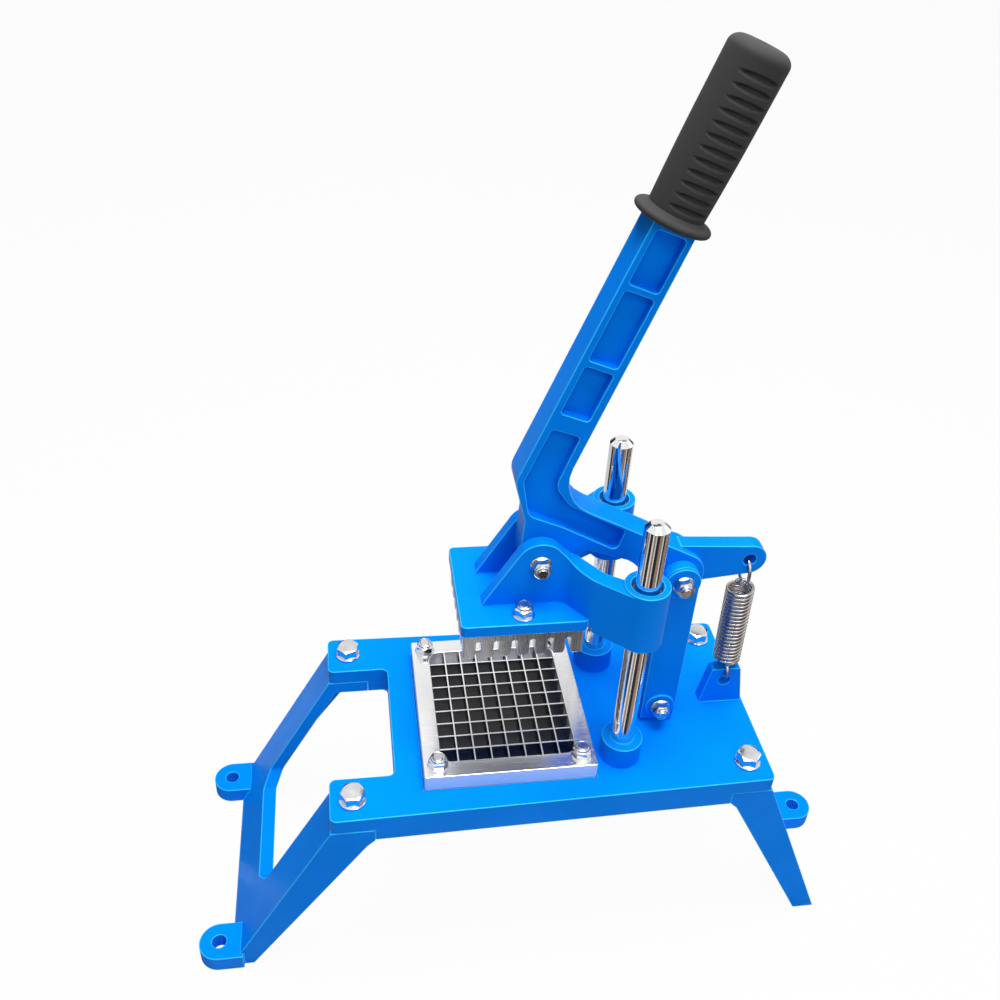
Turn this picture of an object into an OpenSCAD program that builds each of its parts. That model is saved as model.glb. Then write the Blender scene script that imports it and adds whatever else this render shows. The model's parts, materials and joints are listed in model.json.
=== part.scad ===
// Bench-top vegetable dicer: a hand lever presses a pegged pusher down two guide rods
// and through a square grid of blades. Millimetres, +Z up, +X from the front notch
// (where the dice fall clear) towards the return spring. The origin is on the bench
// surface, under the middle of the overall box.

/* [Base plate] */
// Length of the base plate
plate_l = 270; // [262:1:300]
// Width of the base plate at its notched front
plate_front_w = 151; // [146:1:165]
// Width of the base plate at its rear
plate_rear_w = 141; // [138:1:150]
// Height of the plate's top face above the bench
plate_h = 134; // [115:1:150]
// Thickness of the plate's deck
deck_t = 8; // [7:0.5:10]
// Thickness of the bolted tabs that the legs sit under
tab_t = 10.5; // [9:0.5:13]
// Length of the bolted tabs
tab_l = 26; // [24:1:30]
// Depth of the skirt, from the plate's top face
skirt_h = 19.5; // [17:0.5:26]
// Wall of the skirt
skirt_t = 5; // [4:0.5:7]
// Depth of the notch between the front arms
notch_l = 39; // [34:1:42]
// Width of each front arm
arm_w = 31; // [29:0.5:33]
// Corner radius of the plate
plate_r = 4; // [2:0.5:8]

/* [Legs] */
// How far the front leg leans out, from the plate to the bench
front_lean = 67.5; // [50:0.5:80]
// How far the rear leg leans out, from the plate to the bench
rear_lean = 53; // [40:0.5:65]
// How far each rear foot stands out sideways from the plate
rear_splay = 4; // [0:0.5:6]
// Thickness of a leg's sloping face
leg_face_t = 8; // [6:0.5:9]
// Thickness of a leg's side webs
leg_web_t = 6; // [4:0.5:7]
// Length of a foot along the bench
foot_l = 14; // [12:0.5:20]
// Height of the front leg's crossbar above the bench
front_bar_h = 33; // [25:1:45]
// Height of the rear leg's crossbar above the bench
rear_bar_h = 26; // [22:1:40]
// Size of the sloping lower corners of a leg's window
corner_cut = 9.5; // [6:0.5:14]
// Radius of the fixing ears
ear_r = 12.5; // [10:0.5:15]
// Thickness of the fixing ears
ear_t = 12; // [8:0.5:14]
// Diameter of the fixing holes
ear_hole_d = 9; // [6:0.5:11]
// Distance from the plate's front edge out to the front fixing holes
front_ear_out = 74.7; // [72:0.1:90]
// Distance from the plate's rear edge out to the rear fixing hole
rear_ear_out = 64; // [60:0.1:75]
// Distance between the two front fixing holes
front_ear_gap = 131.4; // [120:0.1:140]

/* [Guide rods] */
// Diameter of the guide rods
rod_d = 14; // [12:0.5:16]
// Distance between the two rods
rod_gap = 82; // [80:0.5:90]
// Distance of the rods from the plate's front edge
rod_x = 178; // [176:0.5:182]
// Height of the rods' tops above the plate
rod_top = 179; // [160:1:200]
// Height of the bosses that hold the rods
rod_boss_h = 16; // [10:0.5:16]
// Diameter of the bosses that hold the rods
rod_boss_d = 25; // [23:0.5:26]

/* [Cutting grid] */
// Size of the dice: the distance from blade to blade
dice = 10.3; // [9.5:0.1:10.5]
// Number of columns of dice, along the plate
columns = 8; // [7:1:8]
// Number of rows of dice, across the plate
rows = 9; // [8:1:9]
// Thickness of the blades
blade_t = 0.8; // [0.5:0.1:1.2]
// Height of the blades
blade_h = 11; // [8:0.5:11.5]
// Width of the frame's rim round the blades
rim_w = 11; // [10:0.5:12]
// Thickness of the frame
frame_t = 12; // [12:0.5:15]
// Depth that the frame sits into the plate
frame_seat = 1.5; // [1:0.5:5]
// Corner radius of the frame's opening
window_r = 7; // [4:0.5:8]
// Distance from the plate's front edge to the frame's middle
frame_x = 108; // [106:0.5:109]

/* [Pusher] */
// Number of pegs each way
pegs = 7; // [6:1:7]
// Width of the slots between the pegs
slot_w = 3.2; // [2.4:0.1:4]
// Depth of the slots
slot_h = 12; // [8:0.5:13]
// Height of the whole pusher block
pusher_h = 17.5; // [15:0.5:19]

/* [Carriage] */
// Height of the pressing plate's top above the base plate, with the handle up
platen_z = 108; // [100:0.5:115]
// Thickness of the pressing plate
platen_t = 7.5; // [6:0.5:9]
// How far the pressing plate stands out past the pusher block
platen_lip = 1.6; // [0:0.1:2.5]
// Height of the sleeves on the guide rods
sleeve_h = 39.5; // [34:0.5:42]
// Height of the sleeves' bottom above the base plate, with the handle up
sleeve_z = 97.5; // [96.5:0.5:104]
// Diameter of the sleeves
sleeve_d = 26; // [24:0.5:30]
// Wall of the bushes in the sleeves
bush_t = 2; // [1.5:0.25:3]
// Thickness of the two ears that hold the lever
ear_wall = 8; // [6:0.5:9]
// Radius of the ears' rounded tops
ear_top_r = 14; // [12:0.5:15]

/* [Linkage] */
// Distance of the carriage bolt from the plate's front edge
carriage_pivot_x = 122.5; // [121:0.5:124]
// Height of the carriage bolt above the base plate, with the handle up
carriage_pivot_z = 136; // [134:0.5:138]
// Distance of both link bolts from the plate's front edge
link_pivot_x = 207.8; // [206:0.1:210]
// Height of the links' lower bolt above the plate
link_low_z = 15; // [14:0.5:18]
// Height of the links' upper bolt above the plate, with the handle up
link_high_z = 115.7; // [113:0.1:118]
// Width of the links
link_w = 21.5; // [19:0.5:23]
// Thickness of the links
link_t = 7; // [5:0.5:8]
// How far the lever's front hole is made larger in radius than its bolt, to let the linkage move
eye_play = 5.4; // [5.4:0.1:5.8]
// How far the lever's front hole lies behind its bolt, with the handle up
eye_back = 4.9; // [4.8:0.1:5]

/* [Lever] */
// Thickness of the lever casting
lever_t = 19; // [17:0.5:20]
// Depth of the pockets in each side of the lever
pocket_d = 5.5; // [3:0.25:6.5]
// Lean of the handle from upright, in degrees
handle_lean = 20.8; // [15:0.1:22]
// Width of the handle's arm
arm_d = 24.5; // [22:0.5:27]
// Length of the handle's arm, from the elbow to the grip
handle_arm = 149.5; // [140:0.5:165]
// Width of the rim round the pockets
pocket_rim = 4; // [3:0.5:5]
// Thickness of the tail that pulls the spring
tail_t = 10; // [8:0.5:10.5]
// Radius of the tail's round end
tail_r = 10.3; // [8:0.1:11]
// Length of the rubber grip
grip_l = 84.5; // [80:0.5:110]
// Diameter of the grip
grip_d = 30.5; // [27:0.5:34]
// Diameter of the grip's collar
collar_d = 40; // [38:0.5:48]
// Number of finger ribs along the grip
grip_ribs = 12; // [6:1:14]

/* [Return spring] */
// Diameter of the spring's wire
wire_d = 2.2; // [1.8:0.1:2.4]
// Outer diameter of the spring
spring_d = 17.5; // [15:0.5:20]
// Number of turns
spring_turns = 20; // [14:1:20]
// Distance from the plate's front edge to the spring's lower hole
lug_x = 254.5; // [253:0.5:256]
// Height of the spring's lower hole above the plate
lug_z = 19; // [17:0.5:20]
// Distance from the plate's front edge to the spring's upper hole
tail_x = 251.7; // [250:0.1:254]
// Height of the spring's upper hole above the plate, with the handle up
tail_z = 120.3; // [118:0.1:122]
// Diameter of both holes
spring_hole_d = 8; // [7.6:0.1:8]
// Thickness of the spring's lug
lug_t = 8; // [6:0.5:8.5]
// Radius of the spring's lower hook, at the middle of its wire
low_hook_r = 6.4; // [6.2:0.1:7.5]
// Radius of the spring's upper hook, at the middle of its wire
high_hook_r = 8.6; // [8.4:0.1:9.5]
// Extra length of the spring's upper hook, so that it clears the tail as the lever turns
hook_reach = 2.2; // [1.8:0.1:2.6]
// Height of the coils' top above the plate, with the handle up
coil_top = 95; // [92:0.5:97]

/* [Fits and fasteners] */
// Radial clearance of a running fit
run_gap = 0.05; // [0.02:0.01:0.1]
// Gap between a moving piece and the piece beside it
side_gap = 0.4; // [0.3:0.05:0.8]
// Thread diameter of the main bolts
bolt_d = 8; // [6:1:8]
// Thread diameter of the pivot bolts and of the pusher's studs
pin_d = 6; // [5:1:8]
// Thread diameter of the frame's studs
stud_d = 6; // [5:1:6]

/* [Hidden] */
$fn = 64;

blue = [0.0, 0.42, 0.93];
zinc = [0.78, 0.79, 0.80];
steel = [0.72, 0.73, 0.75];
dark_steel = [0.32, 0.31, 0.31];
black = [0.05, 0.05, 0.05];

over = 1;          // how far a cut runs past the face that it goes through
arc_steps = 6;     // facets of each rounded corner
fit_gap = 0.3;     // loose fit of a part in its seat

// Where the plate's frame lies in the object's frame.
plate_x0 = (front_ear_out - rear_ear_out - plate_l) / 2;
front_half = plate_front_w / 2;
rear_half = plate_rear_w / 2;
notch_half = front_half - arm_w;
function half_at(x) = front_half + (rear_half - front_half) * x / plate_l;

// Fastener proportions.
function hex_af(d) = d == 8 ? 13 : d == 10 ? 17 : 1.6 * d + 0.4;
nut_k = 0.8;
head_k = 0.8;
lock_k = 0.3;      // height of a locking nut's collar
washer_k = 0.2;
tip_out = 2.2;     // how far a thread stands out past its nut's hexagon
function washer_r(d) = d == 8 ? 8 : 1.05 * d;
hole_play = 0.6;   // a bolt hole's diameter over its bolt's
leg_bolt_in = 13.6;
front_bolt_y = front_half - arm_w / 2 + 0.5;
rear_bolt_in = 15.5;
rear_bolt_y = half_at(plate_l - leg_bolt_in) - rear_bolt_in;
leg_bolts_at = [
    [leg_bolt_in, front_bolt_y], [leg_bolt_in, -front_bolt_y],
    [plate_l - leg_bolt_in, rear_bolt_y], [plate_l - leg_bolt_in, -rear_bolt_y]];
flange_t = skirt_h - tab_t;

// Guide rods.
rod_seat = 4;          // depth of the rod's shoulder below the plate's top
rod_thread_d = 10;
rod_thread_l = 12;
rod_bevel = 3;
rods_at = [[rod_x, rod_gap / 2], [rod_x, -rod_gap / 2]];

// Grid.
window_l = columns * dice;
window_w = rows * dice;
frame_l = window_l + 2 * rim_w;
frame_w = window_w + 2 * rim_w;
frame_top = frame_t - frame_seat;
blade_in = 3;          // how far a blade's ends go into the rim
blade_z = -frame_seat;
lap_gap = 0.1;
stud_in = 8.6;
studs_at = [for (i = [-1, 1], j = [-1, 1])
    [frame_x + i * (frame_l / 2 - stud_in), j * (frame_w / 2 - stud_in)]];

// Pusher and carriage. Where the pusher's slots and the blades are not both odd or both
// even in number, it stands half a die to one side, so that each slot is over a blade.
pusher_x = frame_x + (columns + pegs) % 2 * dice / 2;
pusher_y = (rows + pegs) % 2 * dice / 2;
pusher_w = pegs * dice - slot_w;
platen_w = pusher_w + 2 * platen_lip;
platen_bottom = platen_z - platen_t;
pusher_stud_y = platen_w / 2 - 8.3;
eye_gap = lever_t / 2 + 1;
ear_out_y = eye_gap + ear_wall;
sleeve_r = sleeve_d / 2;
web_t = 10;
web_step = 1.6;        // how far a sleeve stands out past its web, above and below
web_knee = [pusher_x + platen_w / 2, platen_w / 2 - 0.8];
ear_bend_x = carriage_pivot_x + 14.5;
bush_recess = 5;

// Lever, in the plate's frame. The handle's axis starts at the elbow.
elbow = [carriage_pivot_x - 1.8, carriage_pivot_z + 51];
up = [sin(handle_lean), cos(handle_lean)];
across = [cos(handle_lean), -sin(handle_lean)];
function on_handle(s, t) = elbow + s * up + t * across;
eye_r = 15.5;
eye_c = [carriage_pivot_x + eye_back, carriage_pivot_z];
link_eye_r = 15;
link_in_y = lever_t / 2 + side_gap;
link_out_y = link_in_y + link_t;
link_boss_t = 1.5;
link_foot = 2.6;       // gap between the links' feet and the plate
elbow_r = 24;
spigot_r = lever_t / 2 - 0.5;

// Spring.
coil_r = (spring_d - wire_d) / 2;
spring_lean = atan2(tail_x - lug_x, tail_z - lug_z);
spring_span = norm([tail_x - lug_x, tail_z - lug_z]);
hook_seat = 0.4;       // gap between a hook's wire and its hole's edge

// ---- helpers ---------------------------------------------------------------------

module on_plate() translate([plate_x0, 0, plate_h]) children();

// Points of a polygon whose corners [x, y, r] are rounded to radius r.
function corner_arc(a, b, c, r) =
    let (u = (a - b) / norm(a - b), v = (c - b) / norm(c - b),
         half = acos(u * v) / 2, d = r / tan(half),
         m = b + (u + v) / norm(u + v) * r / sin(half),
         p = b + u * d - m, q = b + v * d - m,
         start = atan2(p[1], p[0]), turn = atan2(p[0] * q[1] - p[1] * q[0], p * q))
    [for (i = [0 : arc_steps]) m + r * [cos(start + turn * i / arc_steps),
                                        sin(start + turn * i / arc_steps)]];
function flat2(p) = [p[0], p[1]];
function cat(p, r) = [p[0], p[1], r];
function rounded(pts) = let (n = len(pts)) [for (i = [0 : n - 1])
    let (a = flat2(pts[(i + n - 1) % n]), b = flat2(pts[i]), c = flat2(pts[(i + 1) % n]),
         r = len(pts[i]) > 2 ? pts[i][2] : 0)
    each (r > 0 ? corner_arc(a, b, c, r) : [b])];
function block(l, w, r) = [[-l / 2, -w / 2, r], [l / 2, -w / 2, r],
                           [l / 2, w / 2, r], [-l / 2, w / 2, r]];

// A side-view outline in x and z, given thickness across y from y0 to y1.
module side_cut(y0, y1) translate([0, y1, 0]) rotate([90, 0, 0]) linear_extrude(y1 - y0) children();
module side_plate(t) side_cut(-t / 2, t / 2) children();
module cross_bore(x, z, d, w) translate([x, 0, z]) rotate([90, 0, 0])
    cylinder(d = d, h = w, center = true);
// Puts upright fasteners across the machine, with their nut end at the near side.
module crosswise(x, z) translate([x, 0, z]) rotate([90, 0, 0]) children();

module hex_body(d, h) {
    r = hex_af(d) / sqrt(3);
    intersection() {
        cylinder(r = r, h = h, $fn = 6);
        union() {
            cylinder(r = 2 * r, h = h - 0.14 * d);
            translate([0, 0, h - 0.14 * d]) cylinder(r1 = r * 1.02, r2 = r * 0.8, h = 0.14 * d);
        }
    }
}
module hex_bolt(d, l) {
    hex_body(d, head_k * d);
    translate([0, 0, -l]) cylinder(d = d, h = l);
}
module nut(d) difference() {
    hex_body(d, nut_k * d);
    translate([0, 0, -over]) cylinder(d = d, h = nut_k * d + 2 * over);
}
module lock_nut(d) difference() {
    union() {
        hex_body(d, nut_k * d);
        cylinder(r = 0.72 * d, h = (nut_k + lock_k) * d);
    }
    translate([0, 0, -over]) cylinder(d = d, h = (nut_k + lock_k) * d + 2 * over);
}
module washer(d) difference() {
    cylinder(r = washer_r(d), h = washer_k * d);
    translate([0, 0, -over]) cylinder(d = d, h = washer_k * d + 2 * over);
}
module threaded_end(d, h) {
    cylinder(d = d, h = h - 0.12 * d);
    translate([0, 0, h - 0.12 * d]) cylinder(d1 = d, d2 = 0.76 * d, h = 0.12 * d);
}

// ---- base ------------------------------------------------------------------------

module plate_plan() polygon(rounded([
    [0, -front_half, plate_r], [plate_l, -rear_half, plate_r],
    [plate_l, rear_half, plate_r], [0, front_half, plate_r],
    [0, notch_half, plate_r], [notch_l, notch_half, plate_r],
    [notch_l, -notch_half, plate_r], [0, -notch_half, plate_r]]));

module skirt_hollow() {
    x0 = tab_l + skirt_t;
    x1 = plate_l - tab_l - skirt_t;
    in_notch = notch_l + skirt_t;
    polygon(rounded([
        [x0, skirt_t - half_at(x0), 2], [x1, skirt_t - half_at(x1), plate_r],
        [x1, half_at(x1) - skirt_t, plate_r], [x0, half_at(x0) - skirt_t, 2],
        [x0, notch_half + skirt_t, 2], [in_notch, notch_half + skirt_t, 2],
        [in_notch, -notch_half - skirt_t, 2], [x0, -notch_half - skirt_t, 2]]));
}

module between(x0, x1) intersection() {
    children();
    translate([x0, -plate_front_w]) square([x1 - x0, 2 * plate_front_w]);
}

module window_plan(grow = 0) translate([frame_x, 0])
    polygon(rounded(block(window_l + 2 * grow, window_w + 2 * grow, window_r)));

chute_wall = 4;
rib_t = 4;
rib_x = rod_x + rod_boss_d / 2 + 6;
module under_ribs() {
    difference() { window_plan(chute_wall); window_plan(); }
    for (s = [-1, 1]) {
        y = s * rod_gap / 2;
        translate([frame_x + window_l / 2 + 1, y - rib_t / 2]) square([rod_x - frame_x - window_l / 2, rib_t]);
        translate([rod_x, y - rib_t / 2]) square([plate_l - tab_l - rod_x - 1, rib_t]);
    }
    translate([rod_x - rib_t / 2, -half_at(rod_x) + 1]) square([rib_t, 2 * half_at(rod_x) - 2]);
    translate([lug_x - tab_l, -rear_half + 1]) square([rib_t, plate_rear_w - 2]);
}

link_lug_r = 10;
module link_lug_side() {
    polygon(rounded([[link_pivot_x - link_lug_r - 3, -deck_t / 2], [link_pivot_x + link_lug_r + 3, -deck_t / 2],
        [link_pivot_x + link_lug_r, link_low_z], [link_pivot_x - link_lug_r, link_low_z]]));
    translate([link_pivot_x, link_low_z]) circle(r = link_lug_r);
}

lug_foot = 28.5;
lug_top = 19;
lug_over = 10;
module spring_lug_side() polygon(rounded([
    [lug_x - lug_foot / 2, -deck_t / 2], [lug_x + lug_foot / 2, -deck_t / 2], [lug_x + lug_foot / 2, 1.5, 1],
    [lug_x + lug_top / 2, lug_z + lug_over, 1.5], [lug_x - lug_top / 2, lug_z + lug_over, 1.5],
    [lug_x - lug_foot / 2, 1.5, 1]]));

module base_plate() color(blue) on_plate() difference() {
    union() {
        translate([0, 0, -deck_t]) linear_extrude(deck_t) plate_plan();
        translate([0, 0, -tab_t]) linear_extrude(tab_t) {
            between(-over, tab_l) plate_plan();
            between(plate_l - tab_l, plate_l + over) plate_plan();
        }
        translate([0, 0, -skirt_h]) linear_extrude(skirt_h) difference() {
            between(tab_l, plate_l - tab_l) plate_plan();
            skirt_hollow();
        }
        translate([0, 0, -skirt_h + 3]) linear_extrude(skirt_h - 3) between(tab_l + 1, plate_l - tab_l - 1)
            under_ribs();
        for (p = rods_at) translate([p[0], p[1], -skirt_h + 2])
            cylinder(d = rod_boss_d, h = skirt_h - 2 + rod_boss_h);
        side_plate(lever_t) link_lug_side();
        side_plate(lug_t) spring_lug_side();
    }
    translate([0, 0, -skirt_h - over]) linear_extrude(skirt_h + 2 * over) window_plan();
    translate([frame_x, 0, -frame_seat]) linear_extrude(frame_seat + over)
        square([frame_l + 2 * fit_gap, frame_w + 2 * fit_gap], center = true);
    for (p = leg_bolts_at) translate([p[0], p[1], -tab_t - over])
        cylinder(d = bolt_d + hole_play, h = tab_t + 2 * over);
    for (p = studs_at) translate([p[0], p[1], -deck_t - over])
        cylinder(d = stud_d + 2 * run_gap, h = deck_t + over);
    for (p = rods_at) {
        translate([p[0], p[1], -rod_seat]) cylinder(d = rod_d + 2 * run_gap, h = rod_seat + rod_boss_h + over);
        translate([p[0], p[1], -skirt_h - over]) cylinder(d = rod_thread_d + 2 * run_gap, h = skirt_h + 2 * over);
    }
    cross_bore(link_pivot_x, link_low_z, pin_d + 2 * run_gap, lever_t + 2 * over);
    cross_bore(lug_x, lug_z, spring_hole_d, lug_t + 2 * over);
}

leg_z = -plate_h;
leg_rise = plate_h - tab_t;

leg_spare = 3;          // how far a leg's outlines run past its top and its sole, which cut them

// The side outline of a leg, with its top under a tab that ends at x = 0 and runs inward
// to x = tab_l, and its foot on the bench at x = -lean.
module leg_side(lean) {
    out = leg_spare * lean / leg_rise;
    polygon(rounded([
        [out, leg_spare - tab_t], [tab_l, leg_spare - tab_t], [tab_l, -skirt_h, 1], [tab_l - 5, -skirt_h - 5, 6],
        [foot_l - lean - out, leg_z - leg_spare], [-lean - out, leg_z - leg_spare]]));
}
module leg_slab(lean, t) {
    out = leg_spare * lean / leg_rise;
    slope_t = t / cos(atan(lean / leg_rise));
    polygon([[out, leg_spare - tab_t], [slope_t + out, leg_spare - tab_t],
        [slope_t - lean - out, leg_z - leg_spare], [-lean - out, leg_z - leg_spare]]);
}

// A leg leaning towards -x under an end of the plate of half-width half.
module leg_blank(lean, half, splay, bar_h, inner_half, ears, ear_out) {
    tilt = atan(splay / leg_rise);
    difference() {
        union() {
            intersection() {
                union() {
                    for (s = [-1, 1]) translate([0, s * half, -tab_t]) rotate([s * tilt, 0, 0])
                        translate([0, 0, tab_t]) side_cut(s > 0 ? -leg_web_t : 0, s > 0 ? 0 : leg_web_t)
                            leg_side(lean);
                    difference() {
                        // the face stands back a little from a leg's splayed sides
                        translate([splay > 0 ? 0.6 : 0, 0, 0])
                            side_plate(2 * (half + splay) - 1.6) leg_slab(lean, leg_face_t);
                        for (s = [-1, 1]) translate([0, s * half, -tab_t]) rotate([s * tilt, 0, 0])
                            translate([0, s * (half - 1), 0]) cube([4 * lean, 2 * half, 4 * plate_h], center = true);
                    }
                    for (s = [-1, 1]) translate([leg_face_t / 2, s > 0 ? inner_half - 1 : -half + 2, -skirt_h])
                        cube([tab_l - 2 - leg_face_t / 2, half - inner_half - 1, flange_t + 1]);
                }
                translate([-2 * lean, -2 * half, leg_z]) cube([4 * lean, 4 * half, leg_rise]);
            }
            side_plate(2 * inner_half + 6) intersection() {
                leg_slab(lean, leg_face_t + 7);
                translate([-lean, leg_z + bar_h - 7]) square([2 * lean, 6]);
            }
            for (y = ears) translate([-ear_out, y, leg_z]) {
                cylinder(r = ear_r, h = ear_t);
                translate([0, -ear_r, 0]) cube([ear_out - lean + foot_l * 0.6, 2 * ear_r, ear_t]);
            }
        }
        // the window, open to the notch above
        translate([-2 * lean, 0, 0]) rotate([90, 0, 90]) linear_extrude(4 * lean) polygon(rounded([
            [-inner_half, leg_z + bar_h + corner_cut, 6], [corner_cut - inner_half, leg_z + bar_h, 4],
            [inner_half - corner_cut, leg_z + bar_h, 4], [inner_half, leg_z + bar_h + corner_cut, 6],
            [inner_half, over], [-inner_half, over]]));
        for (y = ears) translate([-ear_out, y, leg_z - over]) cylinder(d = ear_hole_d, h = ear_t + 2 * over);
    }
}

module front_leg() color(blue) on_plate() difference() {
    leg_blank(front_lean, front_half, 0, front_bar_h, notch_half,
        [-front_ear_gap / 2, front_ear_gap / 2], front_ear_out);
    for (i = [0, 1]) translate([leg_bolts_at[i][0], leg_bolts_at[i][1], -skirt_h - over])
        cylinder(d = bolt_d + hole_play, h = flange_t + 2 * over);
}

module rear_leg() color(blue) on_plate() difference() {
    translate([plate_l, 0, 0]) mirror([1, 0, 0])
        leg_blank(rear_lean, rear_half, rear_splay, rear_bar_h, rear_half - arm_w, [0], rear_ear_out);
    for (i = [2, 3]) translate([leg_bolts_at[i][0], leg_bolts_at[i][1], -skirt_h - over])
        cylinder(d = bolt_d + hole_play, h = flange_t + 2 * over);
}

bolt_grip = skirt_h + 2 * washer_k * bolt_d;
module leg_bolts() color(zinc) on_plate() for (p = leg_bolts_at)
    translate([p[0], p[1], washer_k * bolt_d]) hex_bolt(bolt_d, bolt_grip + nut_k * bolt_d + tip_out);
module leg_washers() color(zinc) on_plate() for (p = leg_bolts_at) translate([p[0], p[1], 0]) {
    washer(bolt_d);
    translate([0, 0, -skirt_h]) mirror([0, 0, 1]) washer(bolt_d);
}
module leg_nuts() color(zinc) on_plate() for (p = leg_bolts_at)
    translate([p[0], p[1], -skirt_h - washer_k * bolt_d]) mirror([0, 0, 1]) nut(bolt_d);

rod_nut_z = -skirt_h + 2;
module guide_rods() color(steel) on_plate() for (p = rods_at) translate([p[0], p[1], 0]) {
    translate([0, 0, -rod_seat]) cylinder(d = rod_d, h = rod_top - rod_bevel + rod_seat);
    translate([0, 0, rod_top - rod_bevel]) cylinder(d1 = rod_d, d2 = rod_d - 2 * rod_bevel, h = rod_bevel);
    translate([0, 0, rod_nut_z - rod_thread_l])
        cylinder(d = rod_thread_d, h = rod_thread_l - rod_nut_z - rod_seat);
}
module rod_washers() color(zinc) on_plate() for (p = rods_at)
    translate([p[0], p[1], rod_nut_z]) mirror([0, 0, 1]) washer(rod_thread_d);
module rod_nuts() color(zinc) on_plate() for (p = rods_at)
    translate([p[0], p[1], rod_nut_z - washer_k * rod_thread_d]) mirror([0, 0, 1]) nut(rod_thread_d);

// ---- cutting grid ----------------------------------------------------------------

function blade_at(i, n) = (i - (n - 2) / 2) * dice;

module cutter_frame() color(steel) on_plate() translate([frame_x, 0, -frame_seat]) difference() {
    linear_extrude(frame_t) polygon(rounded(block(frame_l, frame_w, 1)));
    translate([0, 0, -over]) linear_extrude(frame_t + 2 * over)
        polygon(rounded(block(window_l, window_w, window_r)));
    for (i = [0 : columns - 2]) translate([blade_at(i, columns), 0, (blade_h - over) / 2])
        cube([blade_t + lap_gap, window_w + 2 * blade_in + lap_gap, blade_h + over], center = true);
    for (i = [0 : rows - 2]) translate([0, blade_at(i, rows), (blade_h - over) / 2])
        cube([window_l + 2 * blade_in + lap_gap, blade_t + lap_gap, blade_h + over], center = true);
    for (p = studs_at) translate([p[0] - frame_x, p[1], -over])
        cylinder(d = stud_d + 2 * run_gap, h = frame_t + 2 * over);
}

// A blade with half-height slots, open at the top or the bottom, where it crosses the others.
module blade(length, count, open_top) difference() {
    translate([-length / 2, 0]) square([length, blade_h]);
    for (i = [0 : count - 2]) translate([blade_at(i, count) - (blade_t + lap_gap) / 2, open_top ? blade_h / 2 : -over])
        square([blade_t + lap_gap, blade_h / 2 + over]);
}
module lengthwise_blades() color(steel) on_plate() for (i = [0 : rows - 2])
    translate([frame_x, blade_at(i, rows), blade_z]) side_plate(blade_t)
        blade(window_l + 2 * blade_in, columns, true);
module crosswise_blades() color(steel) on_plate() for (i = [0 : columns - 2])
    translate([frame_x + blade_at(i, columns), 0, blade_z]) rotate([0, 0, 90]) side_plate(blade_t)
        blade(window_w + 2 * blade_in, rows, false);

stud_up = frame_top + washer_k * stud_d + nut_k * stud_d + tip_out;
module frame_studs() color(zinc) on_plate() for (p = studs_at) translate([p[0], p[1], -deck_t])
    threaded_end(stud_d, deck_t + stud_up);
module frame_washers() color(zinc) on_plate() for (p = studs_at) translate([p[0], p[1], frame_top])
    washer(stud_d);
module frame_nuts() color(zinc) on_plate() for (p = studs_at)
    translate([p[0], p[1], frame_top + washer_k * stud_d]) lock_nut(stud_d);

// ---- links -----------------------------------------------------------------------

module link_side() difference() {
    union() {
        polygon(rounded([[link_pivot_x - link_w / 2, link_foot, 1.5], [link_pivot_x + link_w / 2, link_foot, 1.5],
            [link_pivot_x + link_w / 2, link_high_z], [link_pivot_x - link_w / 2, link_high_z]]));
        translate([link_pivot_x, link_high_z]) circle(d = link_w + 1);
    }
}
module links() color(blue) on_plate() difference() {
    for (s = [-1, 1]) {
        y = s * (link_in_y + link_t / 2);
        translate([0, y, 0]) side_plate(link_t) link_side();
        for (b = [[link_low_z, link_w / 2 - 1.5], [link_high_z, link_w / 2]])
            translate([link_pivot_x, s * link_out_y, b[0]]) rotate([90 * s, 0, 0]) mirror([0, 0, 1])
                cylinder(r = b[1], h = link_boss_t);
    }
    for (z = [link_low_z, link_high_z])
        cross_bore(link_pivot_x, z, pin_d + 2 * run_gap, 2 * (link_out_y + link_boss_t + over));
}

// A bolt across the machine through a stack of half-thickness half, with its washers and nut.
module cross_bolt(x, z, half) crosswise(x, z) mirror([0, 0, 1]) translate([0, 0, half + washer_k * pin_d])
    hex_bolt(pin_d, 2 * half + 2 * washer_k * pin_d + nut_k * pin_d + tip_out);
module cross_washers(x, z, half) crosswise(x, z) {
    translate([0, 0, half]) washer(pin_d);
    mirror([0, 0, 1]) translate([0, 0, half]) washer(pin_d);
}
module cross_nut(x, z, half) crosswise(x, z) translate([0, 0, half + washer_k * pin_d]) lock_nut(pin_d);

link_half = link_out_y + link_boss_t;
module lug_bolt() color(zinc) on_plate() cross_bolt(link_pivot_x, link_low_z, link_half + side_gap);
module lug_washers() color(zinc) on_plate() cross_washers(link_pivot_x, link_low_z, link_half + side_gap);
module lug_nut() color(zinc) on_plate() cross_nut(link_pivot_x, link_low_z, link_half + side_gap);
module link_bolt() color(zinc) on_plate() cross_bolt(link_pivot_x, link_high_z, link_half);
module link_washers() color(zinc) on_plate() cross_washers(link_pivot_x, link_high_z, link_half);
module link_nut() color(zinc) on_plate() cross_nut(link_pivot_x, link_high_z, link_half);

// ---- lever -----------------------------------------------------------------------

half_arm = arm_d / 2;
back_top = [link_pivot_x + 0.47 * link_eye_r, link_high_z + 0.88 * link_eye_r];

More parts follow.
